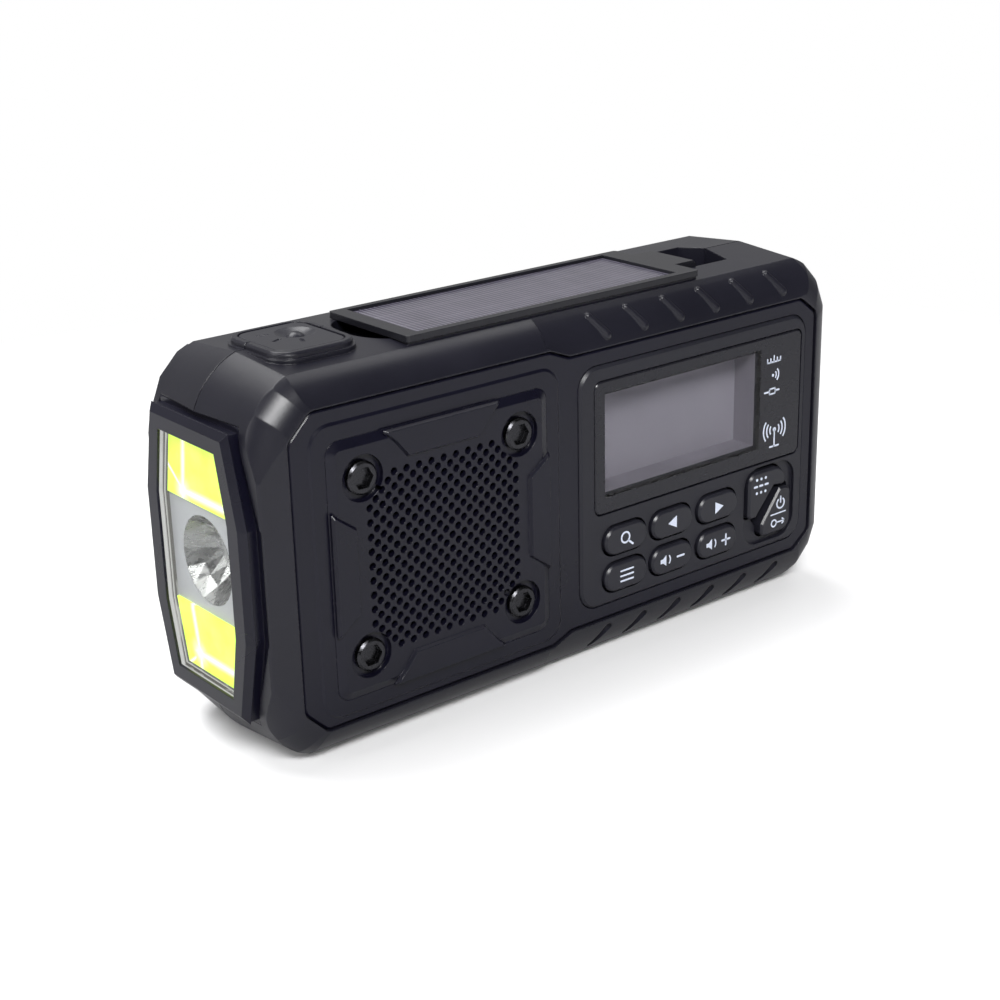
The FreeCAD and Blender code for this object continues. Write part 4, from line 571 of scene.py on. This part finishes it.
# the power key has a power ring, a line and a mode arrow below it
power = arc(1.45, 4.5, 1.3, STROKE, 125, 415) + bar(1.45, 4.7, 1.45, 6.2, STROKE)
power += bar(-1.85, 2.0, 3.3, 2.05, STROKE * 0.75)
power += arc(-0.75, -0.3, 0.85, STROKE * 0.9, 0, 360) + bar(0.1, -0.3, 2.9, -0.3, STROKE * 0.9)
power += bar(2.2, 0.35, 2.95, -0.3, STROKE * 0.9) + bar(2.2, -0.95, 2.95, -0.3, STROKE * 0.9)
power_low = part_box("power_key")[0]
power_x_mm, power_z_mm = power_low.x / MM + 5.85, power_low.z / MM + 3.7
print_marks("power_key_mark", power, power_x_mm, power_z_mm, power_low.y, "power_key")

lens_low, lens_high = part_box("display_lens")
mark_right = lens_high.x / MM - 7.9
STATUS_SCALE = 1.3


def lens_mark(name, outlines, x_mm, drop_mm, scale=1.0):
    """Ink on the display window, drop_mm below its upper edge."""
    scaled = [[(x * scale, z * scale) for x, z in outline] for outline in outlines]
    return print_marks(name, scaled, x_mm, lens_high.z / MM - drop_mm, lens_low.y, "casing")


tuning = bar(-1.7, -0.55, 1.7, -0.55, 0.3)
for tick in range(5):
    tuning += bar(-1.7 + 0.85 * tick, -0.55, -1.7 + 0.85 * tick, 0.15 + (0.45 if tick == 2 else 0.0), 0.26)
lens_mark("tuning_status_mark", tuning, mark_right - 1.5, 5.6, STATUS_SCALE)
waves = disc(-0.7, 0, 0.28) + arc(-0.7, 0, 0.85, 0.28, -45, 45) + arc(-0.7, 0, 1.5, 0.28, -45, 45)
lens_mark("wireless_status_mark", waves, mark_right - 0.8, 9.6, STATUS_SCALE)
plug = bar(-1.9, 0, -0.6, 0, 0.32) + bar(-0.6, 0.5, -0.6, -0.5, 0.3) + bar(-0.6, 0.5, 0.9, 0.5, 0.3)
plug += bar(-0.6, -0.5, 0.9, -0.5, 0.3) + bar(0.9, 0.5, 0.9, -0.5, 0.3) + bar(0.9, 0, 1.9, 0, 0.34)
lens_mark("input_status_mark", plug, mark_right - 2.0, 13.5, STATUS_SCALE)
mast = bar(0, -2.9, 0, 1.2, 0.42) + bar(-1.5, -2.9, 1.5, -2.9, 0.42) + disc(0, 1.3, 0.55)
for side in (0, 180):
    for radius in (1.6, 2.7, 3.8):
        mast += arc(0, 1.3, radius, 0.4, side - 38, side + 38)
lens_mark("reception_mark", mast, mark_right - 0.65, 24.6)


# ---- torch reflector ----
def faceted_reflector():
    """A cup of flat mirrored facets, each a little out of line with its neighbours, with a plain back."""
    low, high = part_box("torch_reflector")
    centre = (low + high) / 2
    rim_radius = (high.z - low.z) / 2 - 0.95 * MM
    throat_radius = 2.55 * MM
    flat_radius = 1.5 * MM
    depth = high.x - low.x - 0.75 * MM
    random.seed(SEED)
    columns = 15
    radii = [rim_radius, rim_radius * 0.80, rim_radius * 0.52, throat_radius]
    builder = bmesh.new()
    inner, outer = [], []
    for k, radius in enumerate(radii):
        share = 1 - ((radius - flat_radius) / (rim_radius - flat_radius)) ** 2
        x = low.x + depth * share
        ring, shell = [], []
        for c in range(columns):
            wobble = 0.0 if k in (0, len(radii) - 1) else random.uniform(-0.35, 0.35) * MM
            angle = 2 * math.pi * (c + 0.3 * wobble / MM) / columns
            y = centre.y + (radius + wobble) * math.cos(angle)
            z = centre.z + (radius + wobble) * math.sin(angle)
            ring.append(builder.verts.new((x + 0.5 * wobble, y, z)))
            grown = radius + 0.8 * MM
            y_out = centre.y + grown * math.cos(angle)
            z_out = centre.z + grown * math.sin(angle)
            shell.append(builder.verts.new((x + 0.72 * MM, y_out, z_out)))
        inner.append(ring)
        outer.append(shell)
    for surface in (inner, outer):
        for k in range(len(radii) - 1):
            for c in range(columns):
                d = (c + 1) % columns
                builder.faces.new((surface[k][c], surface[k + 1][c], surface[k + 1][d]))
                builder.faces.new((surface[k][c], surface[k + 1][d], surface[k][d]))
    for k in (0, len(radii) - 1):
        for c in range(columns):
            d = (c + 1) % columns
            builder.faces.new((inner[k][c], inner[k][d], outer[k][d], outer[k][c]))
    chrome = "reflector_chrome"
    piece = finish_piece(builder, "faceted_reflector", MATERIALS[chrome], "casing")
    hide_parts("torch_reflector")


faceted_reflector()


# ---- floor, lights and camera ----
AIM = Vector((0.0, 0.0, 0.04))
WORLD_FADE = (-0.20, 0.60)
WORLD_LEVELS = (0.05, 0.38)
FLOOR_FADE = (0.12, 0.34)
FLOOR_LIFT = 0.08
FLOOR_SIDE = 5.0


def studio_floor():
    """A pale sweep that lights the object softly; the camera sees it fade to white away from the object."""
    s = Shader("studio_floor")
    s.set(Base_Color=s.mix(s.noise(3.0, 2), (0.46, 0.46, 0.47), (0.48, 0.48, 0.49)), Roughness=0.8)
    s.set(Specular_IOR_Level=0.1)
    seen = s.add("BsdfDiffuse")
    s.feed(seen.inputs[0], (0.90, 0.90, 0.905))
    white = s.add("Emission")
    distance = s.add("VectorMath", operation="LENGTH")
    s.feed(distance.inputs[0], s.coords)
    fade = s.ramp(distance.outputs["Value"], *FLOOR_FADE, FLOOR_LIFT, 1.0)
    camera_view = s.blend(fade, seen.outputs[0], white.outputs[0])
    s.show(s.blend(s.add("LightPath").outputs["Is Camera Ray"], s.bsdf.outputs[0], camera_view))
    builder = bmesh.new()
    corners = [(x * FLOOR_SIDE, y * FLOOR_SIDE, 0.0) for x, y in ((-1, -1), (1, -1), (1, 1), (-1, 1))]
    builder.faces.new([builder.verts.new(corner) for corner in corners])
    mesh = bpy.data.meshes.new("studio_floor")
    builder.to_mesh(mesh)
    builder.free()
    mesh.materials.append(s.material)
    floor = bpy.data.objects.new("studio_floor", mesh)
    bpy.context.scene.collection.objects.link(floor)


def soft_box(name, towards, distance, width, height, power):
    """A white area light that looks at the object from a direction."""
    light = bpy.data.lights.new(name, "AREA")
    light.energy = power
    light.shape = "RECTANGLE"
    light.size = width
    light.size_y = height
    lamp = bpy.data.objects.new(name, light)
    bpy.context.scene.collection.objects.link(lamp)
    lamp.location = Vector(towards).normalized() * distance + AIM
    lamp.rotation_euler = (AIM - lamp.location).to_track_quat("-Z", "Y").to_euler()


def studio_world():
    """White behind the object and dimmer on the camera's side; plain white where the camera sees it."""
    world = bpy.data.worlds.new("studio")
    bpy.context.scene.world = world
    world.use_nodes = True
    tree = world.node_tree
    background = tree.nodes["Background"]
    coords = tree.nodes.new("ShaderNodeTexCoord")
    split = tree.nodes.new("ShaderNodeSeparateXYZ")
    fade = tree.nodes.new("ShaderNodeMapRange")
    rays = tree.nodes.new("ShaderNodeLightPath")
    choose = tree.nodes.new("ShaderNodeMix")
    for index, value in enumerate(WORLD_FADE + WORLD_LEVELS):
        fade.inputs[index + 1].default_value = value
    fade.interpolation_type = "SMOOTHSTEP"
    tree.links.new(coords.outputs["Generated"], split.inputs[0])
    tree.links.new(split.outputs["Y"], fade.inputs[0])
    tree.links.new(fade.outputs[0], choose.inputs["A"])
    choose.inputs["B"].default_value = 1.0
    tree.links.new(rays.outputs["Is Camera Ray"], choose.inputs["Factor"])
    tree.links.new(choose.outputs[0], background.inputs["Strength"])
    background.inputs["Color"].default_value = (1, 1, 1, 1)


studio_floor()
studio_world()
soft_box("overhead", (-0.15, 0.45, 1.0), 1.5, 1.3, 0.9, 24)
soft_box("key", (-0.40, -0.655, 0.641), 1.3, 0.62, 0.34, 20)
soft_box("slope", (0.57, 0.06, 0.81), 1.4, 0.60, 0.50, 2.5)
soft_box("left_strip", (-1.0, 0.10, 0.40), 1.2, 0.35, 0.7, 2.5)


CAMERA_ANGLES_DEG = (-38.73, 20.38, -1.40)
CAMERA_DISTANCE = 0.4214
CAMERA_TARGET = Vector((-0.0017, 0.0045, 0.0341))
CAMERA_LENS_MM = 65.2


def view_camera():
    """A camera that looks down on the lamp end and the front from the left."""
    azimuth, elevation, roll = (math.radians(angle) for angle in CAMERA_ANGLES_DEG)
    level = math.cos(elevation)
    back = Vector((math.sin(azimuth) * level, -math.cos(azimuth) * level, math.sin(elevation)))
    right = (-back).cross(Vector((0, 0, 1))).normalized()
    up = right.cross(-back)
    turned_right = right * math.cos(roll) + up * math.sin(roll)
    turned_up = up * math.cos(roll) - right * math.sin(roll)
    location = CAMERA_TARGET + back * CAMERA_DISTANCE
    camera = bpy.data.objects.new("camera", bpy.data.cameras.new("camera"))
    bpy.context.scene.collection.objects.link(camera)
    rows = [(turned_right[i], turned_up[i], back[i], location[i]) for i in range(3)]
    camera.matrix_world = Matrix(rows + [(0, 0, 0, 1)])
    camera.data.sensor_width = 36
    camera.data.lens = CAMERA_LENS_MM
    camera.data.clip_start = 0.01
    bpy.context.scene.camera = camera


view_camera()
bpy.context.scene.view_settings.view_transform = "Standard"
